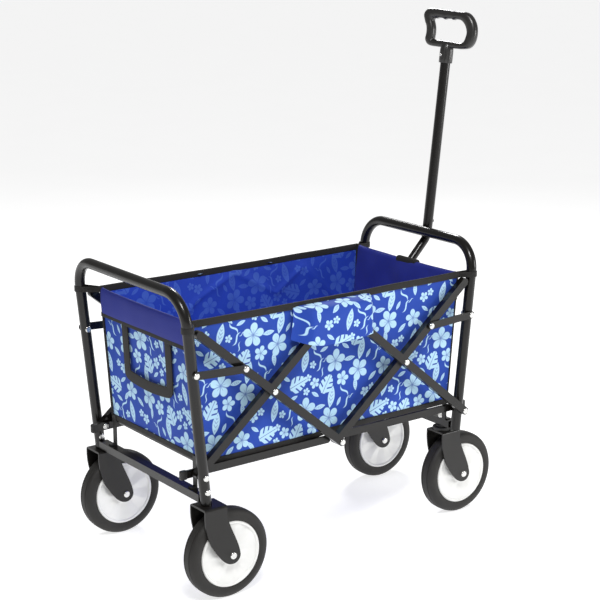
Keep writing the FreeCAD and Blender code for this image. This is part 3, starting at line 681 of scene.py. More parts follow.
def rounded_section(width: float, height: float, corner: float, steps: int = 4) -> List[Place]:
    """Draw a rounded rectangle, counter-clockwise about its middle.

    Args:
        width: Size along the first direction.
        height: Size along the second direction.
        corner: Corner radius.
        steps: Points in each corner, less one.

    Returns:
        Points of the outline.
    """
    outline = []
    for turn, sx, sy in ((0, 1, 1), (90, -1, 1), (180, -1, -1), (270, 1, -1)):
        for angle in spread(math.radians(turn), math.radians(turn + 90), steps):
            outline.append((sx * (width / 2 - corner) + corner * math.cos(angle),
                            sy * (height / 2 - corner) + corner * math.sin(angle)))
    return outline


@dataclass
class Shape:
    """Corners, faces, material numbers and cloth positions, gathered bit by bit."""

    points: List[Point] = field(default_factory=list)
    faces: List[Face] = field(default_factory=list)
    slots: List[int] = field(default_factory=list)
    cloth: List[Place] = field(default_factory=list)
    # Cloth between neighbouring corners where a sheet says nothing of its own, in mm
    plain_step: float = 4.0

    def grid(self, rows: Sequence[Sequence[Point]], slot: int = 0, flip: bool = False,
             around: bool = False,
             cloth: Optional[Sequence[Sequence[Place]]] = None) -> List[List[int]]:
        """Add a sheet of quads.

        Args:
            rows: Rows of points, all of one length.
            slot: Material number.
            flip: Whether to turn the faces over.
            around: Whether each row closes on itself.
            cloth: Cloth position of each point; its place in the grid if left out.

        Returns:
            Corner numbers, row by row.
        """
        numbers = []
        for i, row in enumerate(rows):
            start = len(self.points)
            self.points.extend(tuple(p) for p in row)
            self.cloth.extend(cloth[i] if cloth else [
                (j * self.plain_step, i * self.plain_step) for j in range(len(row))])
            numbers.append(list(range(start, start + len(row))))
        for low, high in zip(numbers, numbers[1:]):
            self.bridge(low, high, slot, flip, around)
        return numbers

    def bridge(self, low: Sequence[int], high: Sequence[int], slot: int = 0, flip: bool = False,
               around: bool = False) -> None:
        """Join two rows of corners with quads.

        Args:
            low: Corner numbers of the first row.
            high: Corner numbers of the second row, as many.
            slot: Material number.
            flip: Whether to turn the faces over.
            around: Whether the rows close on themselves.
        """
        count = len(low)
        for j in range(count if around else count - 1):
            k = (j + 1) % count
            quad = (low[j], low[k], high[k], high[j])
            self.faces.append(quad[::-1] if flip else quad)
            self.slots.append(slot)

    def cap(self, ring: Sequence[int], slot: int = 0, flip: bool = False) -> None:
        """Close a ring of corners with a fan about its middle.

        Args:
            ring: Corner numbers.
            slot: Material number.
            flip: Whether to turn the faces over.
        """
        hub = len(self.points)
        self.points.append(tuple(sum(self.points[i][axis] for i in ring) / len(ring)
                                 for axis in range(3)))
        self.cloth.append(self.cloth[ring[0]])
        for j, corner in enumerate(ring):
            face = (corner, ring[(j + 1) % len(ring)], hub)
            self.faces.append(face[::-1] if flip else face)
            self.slots.append(slot)

    def solid(self, rows: Sequence[Sequence[Point]], flip: bool = False,
              cloth: Optional[Sequence[Sequence[Place]]] = None) -> None:
        """Add closed rows joined one to the next, with a cap at both ends.

        Args:
            rows: Rows of points, each a closed outline.
            flip: Whether to turn the faces over.
            cloth: Cloth position of each point.
        """
        numbers = self.grid(rows, flip=flip, around=True, cloth=cloth)
        self.cap(numbers[0], flip=not flip)
        self.cap(numbers[-1], flip=flip)

    def loop(self, rows: Sequence[Sequence[Point]], flip: bool = False) -> None:
        """Add closed rows joined one to the next, and the last to the first.

        Args:
            rows: Rows of points, each a closed outline.
            flip: Whether to turn the faces over.
        """
        numbers = self.grid(rows, flip=flip, around=True)
        self.bridge(numbers[-1], numbers[0], flip=flip, around=True)

    def sweep(self, path: Sequence[Point], section: Sequence[Place],
              side: Callable[[int], Point]) -> None:
        """Add a solid that carries a closed section along a path.

        Args:
            path: Points of the path.
            section: Section's points as (along the side direction, along the third direction).
            side: Gives the side direction at a path point's number.
        """
        rows = []
        for i, here in enumerate(path):
            forward = (Vector(path[min(i + 1, len(path) - 1)])
                       - Vector(path[max(i - 1, 0)])).normalized()
            across = Vector(side(i))
            across = (across - forward * across.dot(forward)).normalized()
            third = forward.cross(across)
            rows.append([tuple(Vector(here) + across * a + third * b) for a, b in section])
        girth = distances(section)
        self.solid(rows, cloth=[[(along, g) for g in girth] for along in distances(path)])


@dataclass
class Workbench:
    """Makes Blender pieces from millimetre shapes drawn about the tub's middle."""

    middle: float = 0.0
    sharp_edge: float = 38.0
    made: List[bpy.types.Object] = field(default_factory=list)

    def row_point(self, point: Sequence[float]) -> Point:
        """Return a shape's point in the row frame, in metres."""
        return (point[0] * MM + self.middle, point[1] * MM, point[2] * MM)

    def piece(self, name: str, shape: Shape, *finishes: Finish) -> bpy.types.Object:
        """Make one mesh object, shaded smooth below its sharp edges.

        Args:
            name: Piece's name.
            shape: Its corners and faces in millimetres.
            *finishes: Materials in the order of the shape's material numbers.

        Returns:
            The new object, linked to the scene.
        """
        mesh = bpy.data.meshes.new(name)
        mesh.from_pydata([self.row_point(p) for p in shape.points], [], shape.faces)
        for finish in finishes:
            mesh.materials.append(finish.material())
        mesh.polygons.foreach_set("material_index", shape.slots)
        layer = mesh.uv_layers.new(name="cloth")
        for corner in mesh.loops:
            u, v = shape.cloth[corner.vertex_index]
            layer.data[corner.index].uv = (u * MM, v * MM)
        mesh.validate()
        mesh.update()
        mesh.shade_smooth()
        mesh.set_sharp_from_angle(angle=math.radians(self.sharp_edge))
        made = bpy.data.objects.new(name, mesh)
        bpy.context.scene.collection.objects.link(made)
        self.made.append(made)
        LOG.info("made %s with %d faces", name, len(shape.faces))
        return made


# ------------------------------------------------------------------ fabric tub

@dataclass
class FabricTub:
    """Printed canvas tub: walls, floor, turned-over flaps, tape bindings and strap (mm)."""

    bench: Workbench
    low_z: float = 271.0
    rim_z: float = 553.0
    end_low: float = 323.0
    end_high: float = 339.5
    side_low: float = 167.0
    side_high: float = 174.0
    # The furthest out that the walls and the joint covers may bulge
    wall_limit: float = 176.5
    cover_limit: float = 216.5
    cloth: float = 1.4
    cover_cloth: float = 1.1
    # Sum of a spot's X on the two sides' print, so that it reads the right way round on both
    far_print: float = 143.0
    flap_half: float = 164.0
    flap_low_z: float = 506.0
    post_x: float = 369.8
    rear_post_y: float = 205.0
    front_post_y: float = 182.5
    floor_half: Place = (310.5, 163.0)
    floor_z: float = 270.2
    pad_half: Place = (300.0, 158.0)
    pad_boards: int = 4
    # Where each piece starts along X, and the share of its length left when the cart is folded
    wall_fold: Place = (-332.0, 0.2486)
    floor_fold: Place = (-310.5, 0.1966)
    pad_fold: Place = (-300.0, 0.1685)
    pad_fill: float = 0.9
    creases: Tuple[Place, ...] = ((-300, 300), (-112, 498), (-6, 545), (104, 484), (182, 535),
                                  (300, 420))
    crease_width: float = 6.5
    near_crease: float = 1.8
    far_crease: float = 7.0
    cuts: Dict[str, Place] = field(default_factory=dict)

    def share_up(self, z: float) -> float:
        """Return how far up the wall a height is, 0 at the floor and 1 at the rim."""
        return (z - self.low_z) / (self.rim_z - self.low_z)

    def end_x(self, z: float) -> float:
        """Return the end walls' outer face at a height."""
        return lerp(self.end_low, self.end_high, self.share_up(z))

    def side_y(self, z: float) -> float:
        """Return the side walls' outer face at a height."""
        return lerp(self.side_low, self.side_high, self.share_up(z))

    def print_place(self, side: int, x: float, up: float) -> Place:
        """Return where on the printed cloth a spot of one side lies."""
        return (x if side == NEAR else self.far_print - x, up)

    def folds(self, piece: bpy.types.Object, fold: Place) -> None:
        """Attach a piece to the rear frame and give it its own copy of its mesh.

        Args:
            piece: Piece that stays with the rear frame.
            fold: Where it starts along X, and the share of its length left.
        """
        start, keep = fold
        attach(piece, "rear_frame")
        self.bench.row_point((start, 0, 0))
        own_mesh(piece)

    def declare(self, piece: bpy.types.Object, held: str, *rests_on: str) -> None:
        """Log the size that a sheet is cut to.

        Args:
            piece: The sheet.
            held: How it is held, such as "stretched"; not used.
            *rests_on: Names of what it hangs or lies on; not used.
        """
        cut = self.cuts[piece.name]
        LOG.info("%s is cut %.0f x %.0f mm", piece.name, *cut)

    def crease(self, side: int, x: float, z: float) -> float:
        """Work out how deep the sharp packing creases press a side wall in.

        Args:
            side: NEAR or FAR.
            x: Place along the wall.
            z: Height.

        Returns:
            Depth in mm.
        """
        deepest = self.near_crease if side == NEAR else self.far_crease
        depth = 0.0
        for (x0, z0), (x1, z1) in zip(self.creases, self.creases[1:]):
            run = Vector((x1 - x0, z1 - z0))
            along = limited(((x - x0) * run.x + (z - z0) * run.y) / run.length_squared)
            away = math.hypot(x - x0 - along * run.x, z - z0 - along * run.y)
            depth = max(depth, deepest * math.exp(-away / self.crease_width))
        return depth

    def side_bulge(self, side: int, x: float, z: float) -> float:
        """Work out how far a side wall stands out of its plane.

        Args:
            side: NEAR or FAR.
            x: Place along the wall.
            z: Height.

        Returns:
            Distance in mm, outwards positive.
        """
        along = limited((x + self.end_x(z)) / (2 * self.end_x(z)))
        up = self.share_up(z)
        loose = math.sin(math.pi * along) ** 0.5 * math.sin(math.pi * up) ** 0.7
        bulge = -3.2 * loose + 3.0 * loose * ripple(x, z * 1.4, 120.0, side * 7.3)
        bulge += 1.5 * loose * ripple(x, z, 42.0, side * 3.1 + 1.0)
        # Pull lines fan out from where the linkage lifts the rim's middle
        fan = math.atan2(x, self.rim_z + 40.0 - z)
        bulge += 1.4 * loose * up * math.cos(fan * 17.0 + side) * math.exp(-abs(x) / 170.0)
        return bulge - self.crease(side, x, z) * (0.4 + 0.6 * loose)

    def sheet(self, name: str, size: Tuple[int, int], spot: Callable[[int, int], Spot],
              flip: bool, *finishes: Finish) -> bpy.types.Object:
        """Build a closed cloth sheet from its two faces, and keep the size it is cut to.

        Args:
            name: Piece's name.
            size: Divisions from row to row and along a row.
            spot: Gives both faces' points and the cloth place at a row and a column.
            flip: Whether the first face is turned over.
            *finishes: Finish of the first face, and of the second face and the edges.

        Returns:
            The sheet, not yet riding on anything.
        """
        rows, columns = size
        spots = [[spot(i, j) for j in range(columns + 1)] for i in range(rows + 1)]
        outer, inner, cloth = ([[here[k] for here in row] for row in spots] for k in range(3))
        self.cuts[name] = (run_length(outer), run_length(list(zip(*outer))))
        shape = Shape()
        front = shape.grid(outer, 0, flip, cloth=cloth)
        back = shape.grid(inner, 1, not flip, cloth=cloth)
        shape.bridge(front[0], back[0], 1, not flip)
        shape.bridge(front[-1], back[-1], 1, flip)
        for column, turned in ((0, flip), (-1, not flip)):
            shape.bridge([row[column] for row in front], [row[column] for row in back], 1, turned)
        return self.bench.piece(name, shape, *finishes)

    def side_wall(self, side: int, name: str) -> bpy.types.Object:
        """Build one long wall, printed outside and lined inside.

        Args:
            side: NEAR or FAR.
            name: Piece's name.

        Returns:
            The wall.
        """
        rows, columns = 64, 150

        def spot(i: int, j: int) -> Spot:
            """Place the wall's faces at a row and a column."""
            z = lerp(self.low_z, self.rim_z, i / rows)
            x = lerp(-self.end_x(z), self.end_x(z), j / columns)
            y = min(self.side_y(z) + self.side_bulge(side, x, z), self.wall_limit)
            return ((x, side * y, z), (x, side * (y - self.cloth), z),
                    self.print_place(side, x, z))
        return self.sheet(name, (rows, columns), spot, side == FAR, PRINTED, LINING)

    def end_wall(self, end: int, name: str) -> bpy.types.Object:
        """Build one short wall, printed outside and lined inside.

        Args:
            end: REAR or FRONT.
            name: Piece's name.

        Returns:
            The wall.
        """
        rows, columns = 64, 84

        def spot(i: int, j: int) -> Spot:
            """Place the wall's faces at a row and a column."""
            z = lerp(self.low_z + 6, self.rim_z, i / rows)
            half = self.side_y(z) - 5.5
            y = lerp(-half, half, j / columns)
            loose = math.sin(math.pi * j / columns) ** 0.6 * math.sin(math.pi * i / rows) ** 0.7
            bulge = loose * (3.6 * ripple(y, z, 80.0, end * 5.0) - 3.0)
            bulge += 1.6 * loose * ripple(y * 2.0, z * 0.7, 45.0, end * 2.0)
            x = self.end_x(z) + bulge
            return (end * x, y, z), (end * (x - self.cloth), y, z), (60.0 - end * y, z + 31.0)
        return self.sheet(name, (rows, columns), spot, end == REAR, PRINTED,
                          LINING if end == REAR else PLAIN)

    def turned_flap(self, end: int, name: str) -> bpy.types.Object:
        """Build the plain cloth turned over an end's rim, hanging outside down to its tape.

        Args:
            end: REAR or FRONT; the front one also lines the wall inside.
            name: Piece's name.

        Returns:
            The flap.
        """
        inside = [(-7.0, 300.0), (-9.5, 340.0), (-10.0, 380.0), (-10.0, 420.0), (-9.5, 460.0),
                  (-8.0, 500.0)] if end == FRONT else [(-6.0, 520.0)]
        profile = [*inside, (-5.0, 545.0), (-3.5, 558.0), (0.5, 563.5), (4.5, 561.0),
                   (6.5, 553.0), (7.5, 540.0), (7.6, 525.0), (6.6, 512.0), (5.0, self.flap_low_z)]
        fine = smooth_path([(off, 0.0, z) for off, z in profile], 5)
        along = distances(fine)
        rows, columns = len(fine) - 1, 84
        # Inside the tub the folds stand off the wall the other way, deeper at the front
        inner_grow = -3.4 if end == FRONT else -0.6

        def spot(i: int, j: int) -> Spot:
            """Place the flap's faces at a row and a column."""
            off, _, z = fine[i]
            y = lerp(-self.flap_half, self.flap_half, j / columns)
            edge = math.sin(math.pi * j / columns) ** 0.5
            sag = 3.2 * edge * max(0.0, (z - 540.0) / 24.0)
            puff = edge * (1.2 + 1.6 * ripple(y, z, 55.0, end * 9.0 + 2.0)) \
                * math.sin(math.pi * i / rows)
            grow = 1.0 if off > -1 else inner_grow
            x = self.end_x(min(z, self.rim_z)) + off + puff * grow
            return ((end * x, y, z - sag),
                    (end * (x - self.cloth * grow * 0.8), y, z - sag - 0.6), (y, along[i]))
        return self.sheet(name, (rows, columns), spot, end == FRONT, PLAIN, PLAIN)

    def joint_flap(self, side: int, name: str) -> bpy.types.Object:
        """Build the cloth cover that hangs from the rim over the linkage's top joint.

        Args:
            side: NEAR or FAR.
            name: Piece's name.

        Returns:
            The cover.
        """
        profile = [(173.5, 556.0), (180.0, 556.6), (190.0, 556.0), (201.0, 554.6), (210.0, 551.0),
                   (214.2, 543.0), (215.2, 530.0), (215.0, 512.0), (214.6, 494.0), (213.8, 474.5)]
        fine = smooth_path([(0.0, y, z) for y, z in profile], 4)
        along = distances(fine)
        rows, columns = len(fine) - 1, 52

        def spot(i: int, j: int) -> Spot:
            """Place the cover's faces at a row and a column."""
            _, y, z = fine[i]
            drop = i / rows
            off_middle = 2.0 * j / columns - 1.0
            x = -5.0 + off_middle * lerp(92.0, 106.0, drop)
            wave = drop * (1.6 * ripple(x, z, 38.0, side * 6.0) + 1.2 * math.cos(off_middle * 9.0))
            # Its side edges are tucked back to the wall in a smooth step
            free = max(0.0, (abs(off_middle) - 0.7) / 0.3)
            tuck = 33.0 * free * free * (3 - 2 * free) * min(1.0, drop / 0.3)
            lower = 1.0 + 3.0 * ripple(x, 0.0, 60.0, side * 2.0) + 14.0 * abs(off_middle) ** 3
            y = min(y + wave - tuck, self.cover_limit)
            z += lower * drop ** 2
            return ((x, side * y, z), (x, side * (y - self.cover_cloth), z - 0.8 * (1.0 - drop)),
                    self.print_place(side, x, 596.0 - along[i]))
        return self.sheet(name, (rows, columns), spot, side == NEAR, PRINTED, PLAIN)

    def floor_cloth(self) -> bpy.types.Object:
        """Build the tub's bottom cloth, slung between the floor rails.

        Returns:
            The cloth.
        """
        rows, columns = 40, 60
        half_x, half_y = self.floor_half

        def spot(i: int, j: int) -> Spot:
            """Place the cloth's faces at a row and a column."""
            x, y = lerp(-half_x, half_x, j / columns), lerp(-half_y, half_y, i / rows)
            sag = 1.3 * math.sin(math.pi * i / rows) * math.sin(math.pi * j / columns)
            z = self.floor_z - sag * (0.6 + 0.4 * ripple(x, y, 70.0, 1.0))
            return (x, y, z), (x, y, z - self.cloth), (x, y)
        return self.sheet("floor_cloth", (rows, columns), spot, False, LINING, PLAIN)

    def floor_pad(self) -> bpy.types.Object:
        """Build the stiffened pad: its boards in one cover, with sewn channels between them.

        Returns:
            The pad.
        """
        rows, columns = 44, 120
        half_x, half_y = self.pad_half
        board = 2 * half_x / self.pad_boards

        def spot(i: int, j: int) -> Spot:
            """Place the pad's top and underside at a row and a column."""
            x, y = lerp(-half_x, half_x, j / columns), lerp(-half_y, half_y, i / rows)
            share = ((x + half_x) / board) % 1.0 if j < columns else 1.0
            seam = min(share, 1.0 - share) * board
            swell = 1.0 - math.exp(-min(seam, half_y - abs(y)) / 5.0)
            puff = 0.5 * ripple(x, y, 45.0, 3.0)
            return (x, y, 275.4 + (3.8 + puff) * swell), (x, y, 274.6 - 3.0 * swell), (x, y)
        return self.sheet("floor_pad", (rows, columns), spot, False, LINING, PLAIN)

    def tape(self, name: str, path: Sequence[Point], width: float, thick: float,
             side: Callable[[int], Point]) -> bpy.types.Object:
        """Build a tape along a path.

        Args:
            name: Piece's name.
            path: Points of its middle line.
            width: Width, across the side direction.
            thick: Thickness, along the side direction.
            side: Gives the direction that the tape faces at a path point's number.

        Returns:
            The tape.
        """
        shape = Shape()
        shape.sweep(path, rounded_section(thick, width, thick * 0.42), side)
        return self.bench.piece(name, shape, TAPE)

    def rim_tape(self, side: int, name: str) -> bpy.types.Object:
        """Build the binding folded over a long wall's top edge.

        Args:
            side: NEAR or FAR.
            name: Piece's name.

        Returns:
            The tape.
        """
        reach = self.end_high + 1.5
        path = [(x, side * (173.6 + 0.7 * ripple(x, 9.0, 80.0, side)),
                 558.2 + 0.9 * ripple(x, 0.0, 110.0, side * 4.0)
                 - 1.6 * math.cos(math.pi * x / (2 * self.end_high)))
                for x in spread(-reach, reach, 80)]
        return self.tape(name, path, 14.5, 5.6, lambda i: (0, side, 0))

    def corner_tab(self, end: int, side: int, name: str) -> bpy.types.Object:
        """Build the tape that ties a rim corner round its post.

        Args:
            end: REAR or FRONT.
            side: NEAR or FAR.
            name: Piece's name.

        Returns:
            The tape.
        """
        reach, level = 12.1, 558.0
        start = Vector((end * (self.end_high - 2.0), side * 172.0))
        post = Vector((end * self.post_x,
                       side * (self.rear_post_y if end == REAR else self.front_post_y)))
        heading = math.atan2(start.y - post.y, start.x - post.x)
        wrap = spread(heading + math.radians(62), heading + math.radians(298), 18)
        loop = [(start.x, start.y), *((post.x + reach * math.cos(angle),
                                       post.y + reach * math.sin(angle)) for angle in wrap),
                (start.x + end * 1.0, start.y - side * 3.0)]
        path = smooth_path([(x, y, level) for x, y in loop], 2)
        return self.tape(name, path, 12.0, 1.4,
                         lambda i: (path[i][0] - post.x, path[i][1] - post.y, 0.0))

    def corner_binding(self, end: int, side: int, name: str) -> bpy.types.Object:
        """Build the tape down the corner where two walls meet.

        Args:
            end: REAR or FRONT.
            side: NEAR or FAR.
            name: Piece's name.

        Returns:
            The tape.
        """
        path = [(end * (self.end_x(z) + 0.6 + 0.6 * ripple(z, 3.0, 60.0, side + end)),
                 side * (self.side_y(z) - 2.4), z)
                for z in spread(self.low_z - 1, self.rim_z, 24)]
        return self.tape(name, path, 9.0, 4.5, lambda i: (end * 0.7, side * 0.7, 0.0))

    def bottom_binding(self, side: int, name: str) -> bpy.types.Object:
        """Build the tape along a long wall's foot.

        Args:
            side: NEAR or FAR.
            name: Piece's name.

        Returns:
            The tape.
        """
        path = []
        for x in spread(-self.end_low, self.end_low, 60):
            # It hangs lower over the rear half, where no floor rail lies right below it
            hang = 4.6 * limited((-12.0 - x) / 30.0)
            path.append((x, side * (self.side_low + 0.8 + 0.5 * ripple(x, 1.0, 90.0, side)),
                         274.8 - hang + 0.8 * ripple(x, 4.0, 120.0, side)))
        return self.tape(name, path, 12.0, 3.4, lambda i: (0, side, 0))

    def end_tapes(self, end: int, place: str) -> List[bpy.types.Object]:
        """Build an end wall's foot binding and the tape along its flap's lower edge.

        Args:
            end: REAR or FRONT.
            place: The end's name.

        Returns:
            Both tapes.
        """
        pieces = []
        for z, off, width, title in ((281.0, 0.8, 11.0, "foot_binding"),
                                     (self.flap_low_z, 5.2, 9.5, "flap_binding")):
            half = self.side_y(z) - 4.0
            path = [(end * (self.end_x(z) + off + 0.8 * ripple(y, z, 70.0, end)), y,
                     z + 0.8 * ripple(y, 2.0 + z, 90.0, end)) for y in spread(-half, half, 40)]
            pieces.append(self.tape(f"{place}_{title}", path, width, 2.6, lambda i: (end, 0, 0)))
        return pieces

    def handle_rest(self) -> bpy.types.Object:
        """Build the tape patch that guards the front rim where the handle leans on it."""
        path = [(self.end_high + 1.0 + 0.5 * ripple(y, 0.0, 12.0, 8.0), y,
                 557.0 + 0.8 * ripple(y, 5.0, 15.0, 8.0)) for y in spread(24.0, -38.0, 16)]
        return self.tape("handle_rest_patch", path, 17.0, 16.0, lambda i: (1, 0, 0))

    def carry_strap(self) -> bpy.types.Object:
        """Build the U of webbing sewn to the rear wall below its flap.

        Returns:
            The strap.
        """
        half = [(82.0, 504.0), (82.0, 470.0), (81.5, 430.0), (80.5, 406.0), (74.0, 396.0),
                (30.0, 391.5), (0.0, 390.5)]
        corners = half + [(-y, z) for y, z in half[-2::-1]]
        route = smooth_path([(y, 0.0, z) for y, z in corners], 4)
        path = []
        for k, (y, _, z) in enumerate(route):
            lift = 2.2 + 2.6 * math.sin(math.pi * k / (len(route) - 1)) ** 2
            path.append((-(self.end_x(z) + lift), y, z))
        return self.tape("carry_strap", path, 23.0, 2.4, lambda i: (-1, 0, 0))

    def build_sides(self) -> None:
        """Build both long walls with their tapes, covers and corners."""
        for side, label in SIDES:
            wall = self.side_wall(side, "side_wall_" + label)
            self.declare(wall, "stretched", "rear_bow", "front_bow")
            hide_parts("side_panel_" + label)
            rim = self.rim_tape(side, "rim_tape_" + label)
            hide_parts("rim_binding")
            foot = self.bottom_binding(side, "foot_binding_" + label)
            cover = self.joint_flap(side, "joint_cover_" + label)
            self.declare(cover, "draped", "rear_low_bar_" + label)
            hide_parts("joint_flap_" + label)
            for piece in (wall, rim, foot, cover):
                self.folds(piece, self.wall_fold)
            for end, place in ENDS:
                for piece in (self.corner_tab(end, side, f"corner_tab_{place}_{label}"),
                              self.corner_binding(end, side, f"corner_binding_{place}_{label}")):
                    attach(piece, place + "_frame")
                    if end == FRONT:
                        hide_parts("front_rim_binding")

    def build_ends(self) -> None:
        """Build both short walls with their flaps and tapes, the handle's patch and the strap."""
        for end, place in ENDS:
            wall = self.end_wall(end, place + "_wall")
            self.declare(wall, "stretched", place + "_bow", place + "_floor_rail")
            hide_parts(place + "_panel")
            flap = self.turned_flap(end, place + "_turned_flap")
            self.declare(flap, "folded", place + "_wall")
            tapes = self.end_tapes(end, place)
            for piece in (wall, flap, *tapes):
                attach(piece, place + "_frame")
        patch = self.handle_rest()
        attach(patch, "front_frame")
        strap = self.carry_strap()
        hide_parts("rear_strap")
        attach(strap, "rear_frame")

    def build(self) -> None:
        """Build every cloth piece and say which body it rides on and what it replaces."""
        self.build_sides()
        self.build_ends()
        floor = self.floor_cloth()
        self.declare(floor, "stretched", "rear_floor_rail", "front_floor_rail")
        pad = self.floor_pad()
        for piece, node, fold in ((floor, "floor_panel", self.floor_fold),
                                  (pad, "base_pad", self.pad_fold)):
            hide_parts(node)
            self.folds(piece, fold)


# ------------------------------------------------------------------ wheels

@dataclass
class Wheel:
    """Tyre and hub of one wheel (mm). Its place is found from the tyre's node."""

    bench: Workbench
    name: str
    x: float = 0.0
    y: float = 0.0
    radius: float = 92.0
    half_width: float = 19.6
    hub_radius: float = 68.0
    axle_height: float = 92.0
    facets: int = 7
    facet_rise: float = 4.6
    steps: int = 120

    def turned(self, profile: Sequence[Place],
               lift: Callable[[float, float, float], float]) -> Shape:
        """Turn a closed profile of (radius, across) about the axle.

        Args:
            profile: Outline points.
            lift: Gives the across value changed for a radius, an across value and an angle.

        Returns:
            The ring.
        """
        shape = Shape()
        shape.loop([[(self.x + r * math.cos(angle), self.y + lift(r, across, angle),
                      self.axle_height + r * math.sin(angle)) for r, across in profile]
                    for angle in round_angles(self.steps)], flip=True)
        return shape

    def tyre(self) -> bpy.types.Object:
        """Build the solid tyre: broad crown, two moulded grooves, round shoulders.

        Returns:
            The tyre.
        """
        w, r = self.half_width, self.radius
        half = [(r, 0.0), (r, 4.0), (r - 0.2, 6.4), (r - 1.8, 7.2), (r - 1.8, 8.6),
                (r - 0.4, 9.4), (r - 1.2, 12.5), (r - 3.6, 15.6), (r - 7.2, 18.0),
                (r - 11.5, w), (r - 16.0, w), (r - 19.5, w - 0.6), (r - 21.8, w - 1.6),
                (self.hub_radius + 0.5, w - 2.2), (self.hub_radius, w - 3.4)]
        profile = half + [(a, -b) for a, b in half[:0:-1]]
        shape = self.turned(profile, lambda radius, across, angle: across)
        return self.bench.piece(self.name + "_moulded_tyre", shape, RUBBER)

    def faceted(self, radius: float, across: float, angle: float) -> float:
        """Fold the hub's web into facets that rise and fall round the wheel.

        Args:
            radius: Distance from the axle.
            across: Distance from the wheel's middle plane.
            angle: Angle round the wheel.

        Returns:
            The across value with its facet.
        """
        web = limited((radius - 21.0) / 8.0) * limited((self.hub_radius - 5.5 - radius) / 3.0)
        turn = (angle / (2 * math.pi) * self.facets) % 1.0
        ridge = 1.0 - abs(2.0 * turn - 1.0)
        return across + math.copysign(web * self.facet_rise * ridge, across)

    def hub(self) -> bpy.types.Object:
        """Build the white disc: raised rim lip, groove, dished web in facets, centre boss.

        Returns:
            The disc.
        """
        lip = [(self.hub_radius - depth, across) for depth, across in (
            (0.0, 16.0), (0.4, 18.6), (1.6, 19.8), (4.2, 19.8), (5.4, 18.4), (6.6, 15.6))]
        web_and_boss = [(58.0, 14.4), (50.0, 12.8), (42.0, 12.2), (34.0, 12.4), (27.0, 13.6),
                        (22.0, 15.4), (20.0, 18.2), (18.6, 21.0), (17.0, 21.8), (10.0, 22.0),
                        (6.2, 22.0)]
        face = lip + web_and_boss
        shape = self.turned(face + [(a, -b) for a, b in face[::-1]], self.faceted)
        return self.bench.piece(self.name + "_moulded_hub", shape, HUB_PP)

    def build(self, body: str, tyre_node: str, hub_node: str) -> None:
        """Build both pieces on their body in place of their nodes, about the tyre's own axle.

        Args:
            body: Body that the wheel turns with.
            tyre_node: Node of the tyre.
            hub_node: Node of the hub.
        """
        low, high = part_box(tyre_node)
        self.x = ((low.x + high.x) / 2 - self.bench.middle) / MM
        self.y = (low.y + high.y) / 2 / MM
        for piece, node, slot in ((self.tyre(), tyre_node, "black_tyre"),
                                  (self.hub(), hub_node, "white_hub")):
            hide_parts(node)
            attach(piece, body)


# ------------------------------------------------------------------ pull handle

